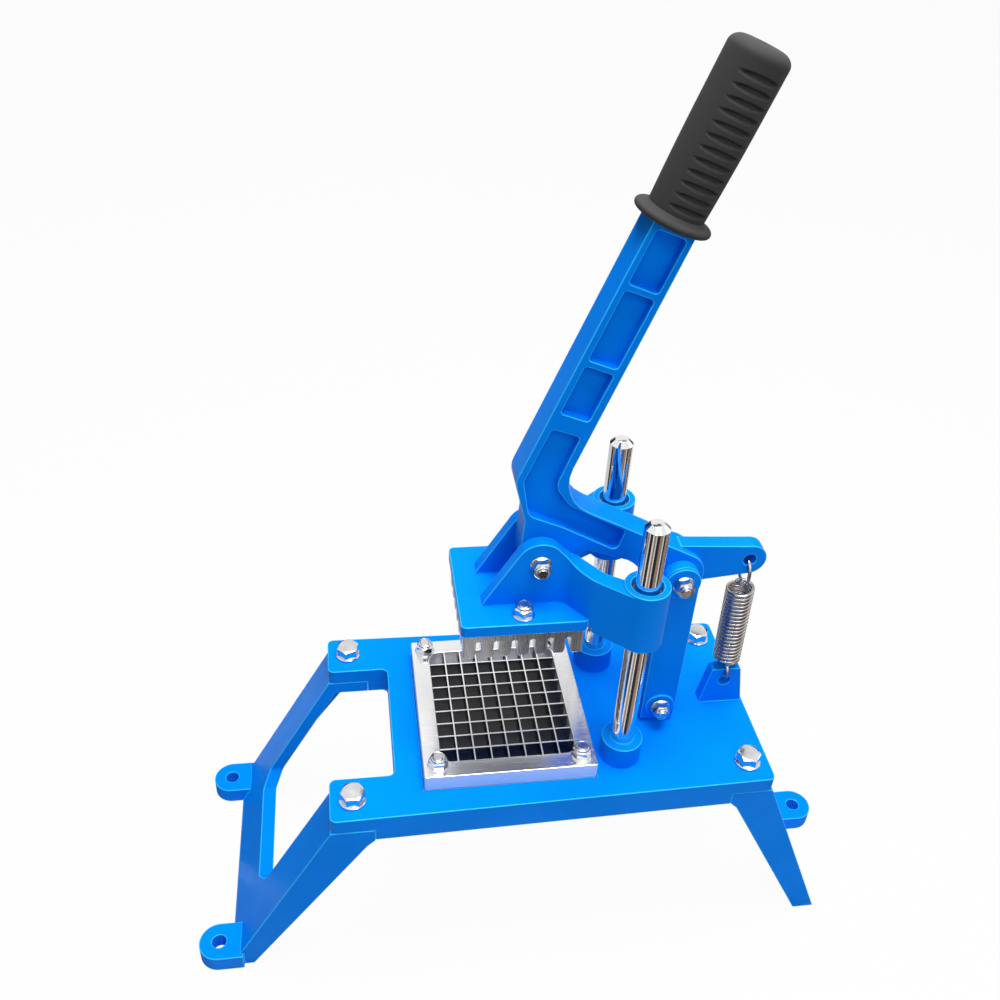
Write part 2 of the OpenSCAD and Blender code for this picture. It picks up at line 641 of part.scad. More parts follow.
module lever_plan() {
    polygon(rounded([
        cat(on_handle(handle_arm, -half_arm + 0.7), 1),
        cat(on_handle(-6, -half_arm - 0.6), 14),
        [eye_c[0] - 0.9 * eye_r, eye_c[1] + 24, 10],
        [eye_c[0] - eye_r, eye_c[1]],
        [eye_c[0] + 0.8 * eye_r, eye_c[1] - 0.6 * eye_r],
        [eye_c[0] + eye_r + 6, eye_c[1] + 2.5, 6],
        [link_pivot_x - 30, link_high_z + 12, 18],
        [link_pivot_x - 0.8 * link_eye_r, link_high_z - 0.6 * link_eye_r],
        [link_pivot_x, link_high_z],
        back_top,
        cat(back_top + 1.125 * (link_pivot_x - carriage_pivot_x) * [-0.88, 0.47], elbow_r),
        cat(on_handle(handle_arm, half_arm - 0.7), 1)]));
    translate(eye_c) circle(r = eye_r);
    translate([link_pivot_x, link_high_z]) circle(r = link_eye_r);
}

module tail_plan() {
    polygon([[link_pivot_x, link_high_z - 10.5], [tail_x, tail_z - 0.995 * tail_r],
        [tail_x + 0.09 * tail_r, tail_z + 0.99 * tail_r], [link_pivot_x, link_high_z + 17.5]]);
    translate([tail_x, tail_z]) circle(r = tail_r);
}

// Pockets along the arm, as [start, end] along the handle, then the one round the elbow.
arm_pockets = [[41, 70], [73.5, 113.5], [117, 146]];
rim_in = half_arm - pocket_rim;
module arm_pocket(a, b) polygon(rounded([
    cat(on_handle(a, -rim_in), 2), cat(on_handle(a, rim_in), 2),
    cat(on_handle(b, rim_in), 2), cat(on_handle(b, -rim_in), 2)]));
module elbow_pocket() polygon(rounded([
    cat(on_handle(31, -rim_in), 2), cat(on_handle(-4, -rim_in - 0.4), 10),
    [eye_c[0] - 12, eye_c[1] + 27.5, 8], [eye_c[0] + 8, eye_c[1] + 18.5, 8],
    [link_pivot_x - 40, link_high_z + 20.5, 3], [link_pivot_x - 36.5, link_high_z + 34.5, 3],
    [elbow[0] + 17, elbow[1] - 18, 12], [elbow[0] + 8, elbow[1] - 5, 10], cat(on_handle(31, rim_in), 2)]));

module lever() color(blue) on_plate() difference() {
    union() {
        side_plate(lever_t) lever_plan();
        side_plate(tail_t) tail_plan();
        translate([elbow[0], 0, elbow[1]]) rotate([0, handle_lean, 0]) translate([0, 0, handle_arm - 4])
            cylinder(r = spigot_r, h = grip_l - 8);
    }
    for (s = [-1, 1]) side_cut(s > 0 ? lever_t / 2 - pocket_d : -lever_t / 2 - over,
                               s > 0 ? lever_t / 2 + over : -lever_t / 2 + pocket_d) {
        for (p = arm_pockets) arm_pocket(p[0], p[1]);
        elbow_pocket();
    }
    cross_bore(eye_c[0], eye_c[1], pin_d + 2 * eye_play, lever_t + 2 * over);
    cross_bore(link_pivot_x, link_high_z, pin_d + 2 * run_gap, lever_t + 2 * over);
    cross_bore(tail_x, tail_z, spring_hole_d, lever_t + 2 * over);
}

collar_t = 4.2;
grip_r = grip_d / 2;
rib_pitch = (grip_l - collar_t - 18) / (grip_ribs - 1);
module grip_profile() difference() {
    polygon(rounded([[0, 0], [collar_d / 2, 0, 1.6], [collar_d / 2, collar_t, 1.8], [grip_r - 1, collar_t, 0.8],
        [grip_r, grip_l * 0.7, 10], [grip_r, grip_l, 5], [0, grip_l]]));
    translate([-over, -over]) square([over + spigot_r + run_gap, grip_l - 10 + over]);
    translate([-over, grip_l - 12]) square([over + 2.5, 14]);
}
module handle_grip() color(black) on_plate() translate([elbow[0], 0, elbow[1]]) rotate([0, handle_lean, 0])
    translate([0, 0, handle_arm]) {
        rotate_extrude() grip_profile();
        for (i = [0 : grip_ribs - 1]) translate([0, 0, collar_t + 9 + i * rib_pitch])
            rotate([0, 0, -115]) rotate_extrude(angle = 150) translate([grip_r - 1.1, 0])
                polygon(rounded([[0, -1.5], [2.1, -0.7, 0.5], [2.1, 0.7, 0.5], [0, 1.5]]));
    }

// ---- carriage --------------------------------------------------------------------

// Side outline of an ear with the web that runs back to a sleeve, a little inside its ends.
module ear_side() {
    polygon(rounded([
        [carriage_pivot_x - 32, platen_z - 2], [carriage_pivot_x - 32, platen_z + 1, 1],
        [carriage_pivot_x - 0.8 * ear_top_r, carriage_pivot_z + 0.6 * ear_top_r],
        [carriage_pivot_x + 0.55 * ear_top_r, carriage_pivot_z + 0.835 * ear_top_r],
        [carriage_pivot_x + 19, sleeve_z + sleeve_h, 10], [rod_x, sleeve_z + sleeve_h - web_step],
        [rod_x, sleeve_z + web_step], [web_knee[0] + 1.5, sleeve_z + web_step, 2],
        [web_knee[0] + 1.5, platen_bottom + 2], [web_knee[0] - 10, platen_bottom + 2]]));
    translate([carriage_pivot_x, carriage_pivot_z]) circle(r = ear_top_r);
}
// Plan of the same, on the side s of the lever. The web turns out to a corner of the pressing
// plate, then runs on to touch the sleeve's outside.
module ear_plan(s) {
    to_rod = [rod_x, rod_gap / 2] - web_knee;
    turn = atan2(to_rod[1], to_rod[0]) + asin(sleeve_r / norm(to_rod));
    touch = web_knee + sqrt(norm(to_rod) ^ 2 - sleeve_r ^ 2) * [cos(turn), sin(turn)];
    mirror([0, s > 0 ? 0 : 1]) polygon(rounded([
        [carriage_pivot_x - 40, eye_gap], [carriage_pivot_x - 40, ear_out_y], [ear_bend_x, ear_out_y, 8],
        cat(web_knee, 24), touch, [rod_x, rod_gap / 2], cat(web_knee + web_t * [0.75, -0.66], 16),
        [ear_bend_x + 6, eye_gap, 10]]));
}
module carriage() color(blue) on_plate() difference() {
    union() {
        translate([pusher_x, pusher_y, platen_bottom]) linear_extrude(platen_t)
            polygon(rounded(block(platen_w, platen_w, 3)));
        for (s = [-1, 1]) {
            intersection() {
                translate([0, 0, sleeve_z]) linear_extrude(carriage_pivot_z) ear_plan(s);
                side_plate(plate_front_w) ear_side();
            }
            translate([rod_x, s * rod_gap / 2, sleeve_z]) cylinder(r = sleeve_r, h = sleeve_h);
        }
    }
    for (p = rods_at) {
        translate([p[0], p[1], sleeve_z - over]) cylinder(r = rod_d / 2 + 1, h = sleeve_h + 2 * over);
        translate([p[0], p[1], sleeve_z + bush_recess])
            cylinder(r = rod_d / 2 + run_gap + bush_t, h = sleeve_h - bush_recess + over);
    }
    cross_bore(carriage_pivot_x, carriage_pivot_z, pin_d + 2 * run_gap, 2 * (ear_out_y + over));
    for (s = [-1, 1]) translate([pusher_x, pusher_y + s * pusher_stud_y, platen_bottom - over])
        cylinder(d = pin_d + 2 * run_gap, h = platen_t + 2 * over);
}

module guide_bushes() color([0.72, 0.55, 0.28]) on_plate() for (p = rods_at)
    translate([p[0], p[1], sleeve_z + bush_recess]) difference() {
        cylinder(r = rod_d / 2 + run_gap + bush_t, h = sleeve_h - 2 * bush_recess);
        translate([0, 0, -over]) cylinder(r = rod_d / 2 + run_gap, h = sleeve_h);
    }

// One slot of the pusher, seen from its end: round at the top and flared at the mouth.
module slot_end() {
    translate([0, slot_h - slot_w / 2]) circle(d = slot_w);
    translate([-slot_w / 2, -over]) square([slot_w, slot_h - slot_w / 2 + over]);
    polygon([[-slot_w / 2 - 0.9, -over], [slot_w / 2 + 0.9, -over], [slot_w / 2 + 0.9, 0], [slot_w / 2, 2.5],
        [-slot_w / 2, 2.5], [-slot_w / 2 - 0.9, 0]]);
}
module pusher_block() color(steel) on_plate() translate([pusher_x, pusher_y, platen_bottom - pusher_h]) difference() {
    linear_extrude(pusher_h) polygon(rounded(block(pusher_w, pusher_w, 1)));
    for (i = [0 : pegs - 2]) {
        t = (i - (pegs - 2) / 2) * dice;
        translate([t, 0, 0]) side_plate(pusher_w + 2 * over) slot_end();
        translate([0, t, 0]) rotate([0, 0, 90]) side_plate(pusher_w + 2 * over) slot_end();
    }
    for (s = [-1, 1]) translate([0, s * pusher_stud_y, slot_h + 1]) cylinder(d = pin_d + 2 * run_gap, h = pusher_h);
}
pusher_stud_z = platen_bottom - pusher_h + slot_h + 1;
module pusher_studs() color(zinc) on_plate() for (s = [-1, 1])
    translate([pusher_x, pusher_y + s * pusher_stud_y, pusher_stud_z])
        threaded_end(pin_d, platen_z + (washer_k + nut_k) * pin_d + tip_out - pusher_stud_z);
module pusher_washers() color(zinc) on_plate() for (s = [-1, 1])
    translate([pusher_x, pusher_y + s * pusher_stud_y, platen_z]) washer(pin_d);
module pusher_nuts() color(zinc) on_plate() for (s = [-1, 1])
    translate([pusher_x, pusher_y + s * pusher_stud_y, platen_z + washer_k * pin_d]) lock_nut(pin_d);

module lever_bolt() color(zinc) on_plate() cross_bolt(carriage_pivot_x, carriage_pivot_z, ear_out_y);
module lever_washers() color(zinc) on_plate() cross_washers(carriage_pivot_x, carriage_pivot_z, ear_out_y);
module lever_nut() color(zinc) on_plate() cross_nut(carriage_pivot_x, carriage_pivot_z, ear_out_y);

// ---- return spring ---------------------------------------------------------------

// A wire swept along points p, with a ring of wire_sides points round each.
wire_sides = 8;
turn_steps = 16;
function wire_frames(ts, i, u) = i == len(ts) ? [] :
    let (v = u - (u * ts[i]) * ts[i], w = v / norm(v)) concat([w], wire_frames(ts, i + 1, w));
module wire(p) {
    n = len(p);
    tan = [for (i = [0 : n - 1]) let (d = p[min(i + 1, n - 1)] - p[max(i - 1, 0)]) d / norm(d)];
    side = wire_frames(tan, 0, abs(tan[0][0]) < 0.9 ? [1, 0, 0] : [0, 0, 1]);
    r = wire_d / 2;
    pts = [for (i = [0 : n - 1], k = [0 : wire_sides - 1])
        p[i] + r * (cos(360 * k / wire_sides) * side[i] + sin(360 * k / wire_sides) * cross(tan[i], side[i]))];
    faces = concat(
        [[for (k = [0 : wire_sides - 1]) k]],
        [for (i = [0 : n - 2], k = [0 : wire_sides - 1]) let (a = i * wire_sides, b = (k + 1) % wire_sides)
            [a + k, a + wire_sides + k, a + wire_sides + b, a + b]],
        [[for (k = [wire_sides - 1 : -1 : 0]) (n - 1) * wire_sides + k]]);
    polyhedron(points = pts, faces = faces, convexity = 10);
}

// A hook on the spring's axis, above a hole at the origin through a wall of thickness t: a
// ring through the hole, longer than it is wide by reach, a neck up the axis, and a turn
// out to the coil at height top.
function hook_points(r, t, top, reach = 0) =
    let (low = spring_hole_d / 2 - hook_seat - wire_d / 2 - (r - sqrt(r * r - t * t / 4)), c = low + r,
         neck = c + reach + r + 0.6, turn_z = max(neck + 0.5, top - 3))
    concat([for (a = [-230 : 20 : 50]) [0, -r * cos(a), c + r * sin(a) + (sin(a) > 0 ? reach : 0)]],
           [[0, -0.3 * r, c + reach + 0.98 * r], [0, 0, neck]],
           turn_z - neck > 3 ? [[0, 0, turn_z]] : [],
           [for (a = [30, 60, 90, 120, 150, 163, 174]) [-coil_r * sin(a / 2) * cos(a), -coil_r * sin(a / 2) * sin(a),
               turn_z + (top - turn_z) * a / 180]]);
coil_start = 2 * low_hook_r + spring_hole_d / 2 - low_hook_r + sqrt(low_hook_r * low_hook_r - lug_t * lug_t / 4)
    + wire_d;
coil_end = coil_top - lug_z;
module on_spring() on_plate() translate([lug_x, 0, lug_z]) rotate([0, spring_lean, 0]) children();
module spring_lower_hook() color(dark_steel) on_spring() wire(hook_points(low_hook_r, lug_t, coil_start - 0.1));
module spring_upper_hook() color(dark_steel) on_spring() translate([0, 0, spring_span]) rotate([180, 0, 0])
    wire(hook_points(high_hook_r, tail_t, spring_span - coil_end - 0.3, hook_reach));
function coil_points() = [for (i = [0 : spring_turns * turn_steps])
    let (a = 360 * i / turn_steps) [coil_r * cos(a), coil_r * sin(a),
        coil_start + (coil_end - coil_start) * i / (spring_turns * turn_steps)]];
module return_spring() color(dark_steel) on_spring() wire(coil_points());

base_plate();
front_leg();
rear_leg();
leg_bolts();
leg_washers();
leg_nuts();
guide_rods();
rod_washers();
rod_nuts();
cutter_frame();
lengthwise_blades();
crosswise_blades();
frame_studs();
frame_washers();
frame_nuts();
lug_bolt();
lug_washers();
lug_nut();
links();
link_bolt();
link_washers();
link_nut();
lever();
handle_grip();
carriage();
guide_bushes();
pusher_block();
pusher_studs();
pusher_washers();
pusher_nuts();
lever_bolt();
lever_washers();
lever_nut();
spring_lower_hook();
return_spring();
spring_upper_hook();
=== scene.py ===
"""A hand-lever vegetable dicer: cast and painted body, steel blade grid, pegged pusher."""

import json
import math

import bmesh
import bpy
from bpy.props import FloatProperty, FloatVectorProperty, IntProperty, PointerProperty
from bpy.types import Operator, Panel, PropertyGroup
from mathutils import Matrix, Vector
from mathutils.bvhtree import BVHTree


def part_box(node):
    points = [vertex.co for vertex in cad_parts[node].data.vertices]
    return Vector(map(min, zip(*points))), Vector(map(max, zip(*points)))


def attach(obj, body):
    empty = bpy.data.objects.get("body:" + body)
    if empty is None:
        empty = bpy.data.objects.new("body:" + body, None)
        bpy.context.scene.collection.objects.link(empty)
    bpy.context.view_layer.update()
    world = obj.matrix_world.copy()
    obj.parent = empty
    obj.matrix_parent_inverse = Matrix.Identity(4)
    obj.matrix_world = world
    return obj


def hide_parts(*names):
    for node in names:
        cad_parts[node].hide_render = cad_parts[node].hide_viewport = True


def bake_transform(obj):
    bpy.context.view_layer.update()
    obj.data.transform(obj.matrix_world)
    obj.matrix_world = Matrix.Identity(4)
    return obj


bl_info = {
    "name": "Vegetable Dicer",
    "version": (1, 0, 0),
    "blender": (4, 5, 0),
    "location": "3D View > Sidebar > Dicer",
    "description": "Dresses the vegetable dicer's solids for a studio view",
    "category": "Object",
}

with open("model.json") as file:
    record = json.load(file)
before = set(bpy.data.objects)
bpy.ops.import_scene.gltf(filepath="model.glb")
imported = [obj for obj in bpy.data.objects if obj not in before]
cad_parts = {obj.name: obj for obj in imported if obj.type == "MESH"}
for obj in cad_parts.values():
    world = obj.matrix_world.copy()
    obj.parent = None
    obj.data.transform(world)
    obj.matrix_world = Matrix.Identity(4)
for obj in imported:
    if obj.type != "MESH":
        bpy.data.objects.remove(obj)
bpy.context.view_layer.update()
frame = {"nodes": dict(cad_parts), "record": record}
NODES = frame["nodes"]
RECORD = frame["record"]
BODY_OF = {n: b for b, names in RECORD["behaviour"]["bodies"].items() for n in names}
SLOT_OF = {part["node"]: part["material_slot"] for part in RECORD["subparts"]}

MM = 0.001
Y_AXIS, Z_AXIS = Vector((0, 1, 0)), Vector((0, 0, 1))

# Skins of castings and of ground steel.
CASTINGS = ("base_plate", "front_leg", "rear_leg", "lever", "carriage", "links")
MERGE = 0.1 * MM          # points of a CAD mesh that are closer than this become one
SHARP = math.radians(32)  # edges that turn by more than this are rounded
FLAT_AREA = 1e-9          # faces smaller than this don't start a flat region
FLAT_GAP = 0.01 * MM      # how far a flat region's points may leave its plane
FLAT_MATCH = 0.05         # how far, as a share, a refilled region's area may differ
HIGHLIGHT_EDGE = "highlight_edge"   # attribute of a casting's convex rounded edges, which get a painted highlight: a lighter paint colour

# The two legs.
LEG_RISE = 123.5 * MM     # height over which a leg leans out, from its head to its foot
LEG_FACE = 8 * MM         # thickness of a leg's face
PAD_DEPTH = 24 * MM       # a leg's pads end this far in, and are drawn on up to the plate's skirt
PAD_REACH = 1.9 * MM
# A leg's head (X), how far its foot leans out, how far its face stands back, and its rib's two edges (Z).
LEGS = {
    "front_leg": (-129.65 * MM, -67.5 * MM, 0.0, (26 * MM, 32 * MM)),
    "rear_leg": (140.35 * MM, 53 * MM, 0.6 * MM, (19 * MM, 25 * MM)),
}

# Each fastener node: its kind, the way its head, nut or tip points, and its thread's radius in mm.
FASTENERS = {
    "leg_bolts": ("bolt", Z_AXIS, 4.0), "leg_washers": ("washer", Z_AXIS, 4.0),
    "leg_nuts": ("nut", -Z_AXIS, 4.0), "rod_washers": ("washer", Z_AXIS, 5.0),
    "rod_nuts": ("nut", -Z_AXIS, 5.0), "frame_studs": ("stud", Z_AXIS, 3.0),
    "frame_washers": ("washer", Z_AXIS, 3.0), "frame_nuts": ("lock nut", Z_AXIS, 3.0),
    "pusher_studs": ("stud", Z_AXIS, 3.0), "pusher_washers": ("washer", Z_AXIS, 3.0),
    "pusher_nuts": ("lock nut", Z_AXIS, 3.0), "lug_bolt": ("bolt", Y_AXIS, 3.0),
    "lug_washers": ("washer", Y_AXIS, 3.0), "lug_nut": ("lock nut", -Y_AXIS, 3.0),
    "link_bolt": ("bolt", Y_AXIS, 3.0), "link_washers": ("washer", Y_AXIS, 3.0),
    "link_nut": ("lock nut", -Y_AXIS, 3.0), "lever_bolt": ("bolt", Y_AXIS, 3.0),
    "lever_washers": ("washer", Y_AXIS, 3.0), "lever_nut": ("lock nut", -Y_AXIS, 3.0),
}
HEAD_K = 0.8              # a bolt head's height over its thread's diameter
THREAD_TURNS = 10         # threads cut on a bolt or a stud
SPANNER_TURNS = (0.0, 0.31, -0.22, 0.14, -0.38, 0.45, -0.09)  # how each head or nut happened to stop

# The guide rods and their bushes.
ROD_NECK = 25.5 * MM      # length of a rod's threaded neck
NECK_RADIUS = 5 * MM
NECK_TURNS = 9            # threads cut on a neck
ROD_BEVEL = 3 * MM        # chamfer at a rod's top
ROD_SLACK = 0.05 * MM     # between a bush and its rod

# The handle's elbow, and the grip on its arm.
ELBOW = Vector((-8.95, 0, 321)) * MM
HANDLE_LEAN = math.radians(20.8)
GRIP_FOOT = 149.5 * MM    # from the elbow to the grip's collar
GRIP_LENGTH = 84.5 * MM
GRIP_RADIUS = 15.25 * MM
GRIP_BORE = 9.05 * MM
GRIP_WAIST = 0.9 * MM     # how much thinner the grip is just above its collar
GRIP_CROWN = 6.5 * MM     # rounding of the grip's end
GRIP_RING = 0.3 * MM      # height of one ring of faces
END_HOLE = 2.9 * MM       # radius of the small hole in the grip's end
COLLAR_RADIUS = 20 * MM
COLLAR_THICK = 4.2 * MM
RIB_FIRST, RIB_LAST = 5.5 * MM, 12.5 * MM  # first hollow above the collar, last one below the end
RIB_SPREAD = math.radians(40)              # how far a hollow runs to either side
RIB_HALF = 2.1 * MM                        # half a hollow's height at its middle

# The return spring, from the hole in its lug to the hole in the lever's tail.
WIRE = 2.2 * MM
WIRE_ROUNDING = 10        # resolution of the wire's section
COIL = 7.65 * MM          # radius of the coil, at the middle of its wire
COIL_POINTS = 28          # points in one turn
COIL_START, COIL_END = 17.6 * MM, 76 * MM
SPRING_SPAN = 101.34 * MM
SPRING_HOLE = 8 * MM      # diameter of both holes
HOOK_SEAT = 0.4 * MM      # gap between a hook and its hole's rim
# Radii of the two hooks, and how far the upper one is drawn out long.
LOW_HOOK, HIGH_HOOK, HOOK_REACH = 6.4 * MM, 8.6 * MM, 2.2 * MM
LUG_THICK, TAIL_THICK = 8 * MM, 10 * MM

# Each lamp: its place, its diameter and its share of the light's power.
LAMPS = {
    "overhead": ((0.10, 0.0, 1.5), 0.9, 0.82),
    "front": ((0.35, -1.1, 1.1), 0.7, 0.13),
    "side": ((1.3, 0.1, 0.7), 0.8, 0.04),
    "sparkle": ((-0.25, -0.75, 1.35), 0.10, 0.04),
}
LAMP_AIM = Vector((0, 0, 0.2))
# Cards on the floor, round the guide rods: middle and width in degrees, near and far edge in metres.
FLOOR_FLAGS = {
    "dark": ((-88, 24, 0.13, 3), (-143, 22, 0.15, 3), (-36, 18, 0.15, 3), (170, 20, 0.15, 3),
             (8, 16, 0.15, 3)),
    "warm": ((-66, 26, 0.15, 3), (-114, 14, 0.15, 3), (-14, 24, 0.15, 3), (-170, 14, 0.15, 3)),
}
FLAG_CENTRE = (0.048, 0, 0)  # between the guide rods
FLAG_LIFT = 2 * MM
# Cards on a round wall: middle and width in degrees, lowest and highest edge in metres.
WALL_FLAGS = {
    "dark": ((76, 16, 1.95, 2.8), (64, 11, 1.6, 2.2), (45, 20, 0, 1.2), (125, 50, 0, 0.9)),
    "warm": (),
}
WALL = 1.6                # the wall's radius, in metres
FLOOR_REACH = 6           # half the floor's width, in metres
CAMERA = {
    "lens": 37.88, "sensor": 36, "at": (-0.1105, -0.4608, 0.6397),
    "azimuth": -10.02, "elevation": 35.79, "roll": 3.51,
}


# ---- sizes and colours that a user would change --


class DicerShape(PropertyGroup):
    """Sizes that can be changed without moving a piece"""
    cast_edge: FloatProperty(
        name="Casting edge", description="Rounding of the painted castings' edges",
        default=0.5 * MM, min=0.1 * MM, max=2 * MM, subtype="DISTANCE", unit="LENGTH")
    ground_edge: FloatProperty(
        name="Ground edge", description="Rounding of the ground steel's edges",
        default=0.4 * MM, min=0.1 * MM, max=1 * MM, subtype="DISTANCE", unit="LENGTH")
    thread_pitch: FloatProperty(
        name="Thread pitch", description="Pitch of the 6 mm threads; the others are in proportion",
        default=1 * MM, min=0.5 * MM, max=2 * MM, subtype="DISTANCE", unit="LENGTH")
    wire: FloatProperty(
        name="Spring wire", description="Diameter of the return spring's wire",
        default=WIRE, min=1 * MM, max=3 * MM, subtype="DISTANCE", unit="LENGTH")
    coils: IntProperty(
        name="Spring coils", description="Turns of the return spring", default=20, min=6, max=24)
    grip_ribs: IntProperty(
        name="Grip ribs", description="Ribs along the grip", default=12, min=4, max=16)
    rib_depth: FloatProperty(
        name="Rib depth", description="Depth of the hollows between the grip's ribs",
        default=1.7 * MM, min=0.2 * MM, max=2.5 * MM, subtype="DISTANCE", unit="LENGTH")


class DicerFinish(PropertyGroup):
    """Colours of the pieces' materials"""
    paint: FloatVectorProperty(
        name="Paint", description="Colour of the painted castings",
        default=(0.0, 0.23, 0.92), min=0, max=1, subtype="COLOR")
    zinc: FloatVectorProperty(
        name="Zinc", description="Colour of the plated fasteners",
        default=(0.80, 0.81, 0.83), min=0, max=1, subtype="COLOR")
    steel: FloatVectorProperty(
        name="Steel", description="Colour of the ground steel",
        default=(0.74, 0.74, 0.75), min=0, max=1, subtype="COLOR")
    wire_steel: FloatVectorProperty(
        name="Spring steel", description="Colour of the spring's wire",
        default=(0.43, 0.41, 0.39), min=0, max=1, subtype="COLOR")
    grip: FloatVectorProperty(
        name="Grip", description="Colour of the rubber grip",
        default=(0.01, 0.01, 0.0105), min=0, max=1, subtype="COLOR")


class DicerStage(PropertyGroup):
    """Floor, light and the cards that polished metal mirrors"""
    floor: FloatVectorProperty(
        name="Floor", description="Colour of the floor",
        default=(0.6, 0.6, 0.6), min=0, max=1, subtype="COLOR")
    dark_flag: FloatVectorProperty(
        name="Dark flags", description="Colour of the black cards that polished metal mirrors",
        default=(0.02, 0.02, 0.02), min=0, max=1, subtype="COLOR")
    warm_flag: FloatVectorProperty(
        name="Warm flags", description="Colour of the brown cards that polished metal mirrors",
        default=(0.22, 0.16, 0.12), min=0, max=1, subtype="COLOR")
    white: FloatProperty(
        name="Whiteness", description="How far the floor is lifted to white for the camera",
        default=0.96, min=0, max=1, subtype="FACTOR")
    light: FloatProperty(
        name="Light", description="Power of all the lamps together", default=31.0, min=0, unit="POWER")
    sky: FloatProperty(name="Sky", description="Strength of the soft sky", default=0.3, min=0, max=2)


# ---- materials -----------------------------------


class Nodes:
    """A material's node tree, with short calls for what the finishes share."""

    def __init__(self, name):
        self.material = bpy.data.materials.get(name)
        self.fresh = self.material is None
        if self.fresh:
            self.material = bpy.data.materials.new(name)
            self.material.use_nodes = True
        self.tree = self.material.node_tree
        self.shader = self.tree.nodes["Principled BSDF"]

    def add(self, kind, **sockets):
        node = self.tree.nodes.new(kind)
        for key, value in sockets.items():
            node.inputs[key.replace("_", " ")].default_value = value
        return node

    def link(self, a, b):
        self.tree.links.new(a, b)

    def place(self, scale=(1, 1, 1)):
        """Coordinates fixed to the piece, scaled along its axes."""
        mapping = self.add("ShaderNodeMapping")
        mapping.inputs["Scale"].default_value = scale
        self.link(self.add("ShaderNodeTexCoord").outputs["Object"], mapping.inputs["Vector"])
        return mapping.outputs["Vector"]

    def noise(self, vector, scale, detail=3.0, roughness=0.5):
        node = self.add("ShaderNodeTexNoise", Scale=scale, Detail=detail, Roughness=roughness)
        self.link(vector, node.inputs["Vector"])
        return node.outputs["Fac"]

    def grain(self, along):
        """Fine grinding lines that run along an axis, given by its number."""
        return self.noise(self.place(tuple(0.02 if k == along else 1.0 for k in range(3))), 2600, 3, 0.6)

    def spread(self, value, low, high, start=0.3, end=0.7):
        """A value between start and end, spread over low to high."""
        node = self.add("ShaderNodeMapRange")
        node.inputs["From Min"].default_value = start
        node.inputs["From Max"].default_value = end
        node.inputs["To Min"].default_value = low
        node.inputs["To Max"].default_value = high
        self.link(value, node.inputs["Value"])
        return node.outputs["Result"]

    def tint(self, factor, dark, light, start=0.3, end=0.7):
        """A colour between two fixed ones."""
        ramp = self.tree.nodes.new("ShaderNodeValToRGB")
        ramp.color_ramp.elements[0].position, ramp.color_ramp.elements[1].position = start, end
        ramp.color_ramp.elements[0].color = (*dark, 1)
        ramp.color_ramp.elements[1].color = (*light, 1)
        self.link(factor, ramp.inputs["Fac"])
        return ramp.outputs["Color"]

    def mix(self, factor, first, colour):
        """The first colour, drawn towards a fixed one by the factor."""
        node = self.add("ShaderNodeMix")
        node.data_type = "RGBA"
        a, b = (socket for socket in node.inputs if socket.type == "RGBA")
        self.link(factor, node.inputs[0])
        self.link(first, a)
        b.default_value = colour
        return next(socket for socket in node.outputs if socket.type == "RGBA")

    def bump(self, height, distance, strength=1.0, under=None):
        node = self.add("ShaderNodeBump", Strength=strength, Distance=distance)
        self.link(height, node.inputs["Height"])
        if under is not None:
            self.link(under, node.inputs["Normal"])
        return node.outputs["Normal"]

    def set(self, **sockets):
        """Gives the shader's inputs a value each, or a link."""
        for key, value in sockets.items():
            socket = self.shader.inputs[key.replace("_", " ")]
            if isinstance(value, bpy.types.NodeSocket):
                self.link(value, socket)
            else:
                socket.default_value = value


def shade(colour, factor):
    """A colour made darker or lighter, kept within white."""
    return tuple(min(1.0, c * factor) for c in colour)


def paint(finish):
    """Blue paint with a fine peel over the casting's sand, glossier edges, and a painted highlight that
    lightens the edges' colour.
    """
    n = Nodes("blue_powder_coat")
    if n.fresh:
        at = n.place()
        peel = n.noise(at, 420, 2, 0.4)
        sand = n.noise(at, 95, 4, 0.55)
        edge = n.add("ShaderNodeAttribute")
        edge.attribute_name = HIGHLIGHT_EDGE
        highlit = edge.outputs["Fac"]
        body = n.tint(n.noise(at, 18, 4), shade(finish.paint, 0.92), shade(finish.paint, 1.05))
        # the marked edges get a lighter blue as a painted highlight, and a stronger specular reflection
        n.set(Base_Color=n.mix(highlit, body, (0.03, 0.46, 1.0, 1)),
              Roughness=n.spread(n.noise(at, 60, 5), 0.28, 0.4),
              Normal=n.bump(peel, 0.04 * MM, 0.5, n.bump(sand, 0.12 * MM, 0.5)),
              Specular_IOR_Level=n.spread(highlit, 0.06, 1.0, 0, 1),
              Specular_Tint=(0.08, 0.6, 1.0, 1))
    return n.material


def plated(finish):
    """Bright zinc on steel, a little cloudy."""
    n = Nodes("zinc_plate")
    if n.fresh:
        at = n.place()
        n.set(Metallic=1.0,
              Base_Color=n.tint(n.noise(at, 160, 4), shade(finish.zinc, 0.78), shade(finish.zinc, 0.95)),
              Roughness=n.spread(n.noise(at, 300, 4), 0.12, 0.26),
              Normal=n.bump(n.noise(at, 900, 3), 0.02 * MM, 0.35))
    return n.material


def ground(finish, name, factor, along, rough, sides):
    """Steel ground along one axis: fine lines that run that way, and sawn sides that shine less."""
    n = Nodes(name)
    if n.fresh:
        lines = n.grain(along)
        broad = n.noise(n.place(), 22, 3)
        lie = n.add("ShaderNodeSeparateXYZ")
        n.link(n.add("ShaderNodeTexCoord").outputs["Normal"], lie.inputs["Vector"])
        n.set(Metallic=n.spread(lie.outputs["Z"], sides, 1.0, 0.3, 0.8),
              Base_Color=n.tint(broad, shade(finish.steel, 0.92 * factor),
                                shade(finish.steel, 1.04 * factor)),
              Roughness=n.spread(lines, rough, rough + 0.16),
              Normal=n.bump(lines, 0.012 * MM, 0.35))
    return n.material


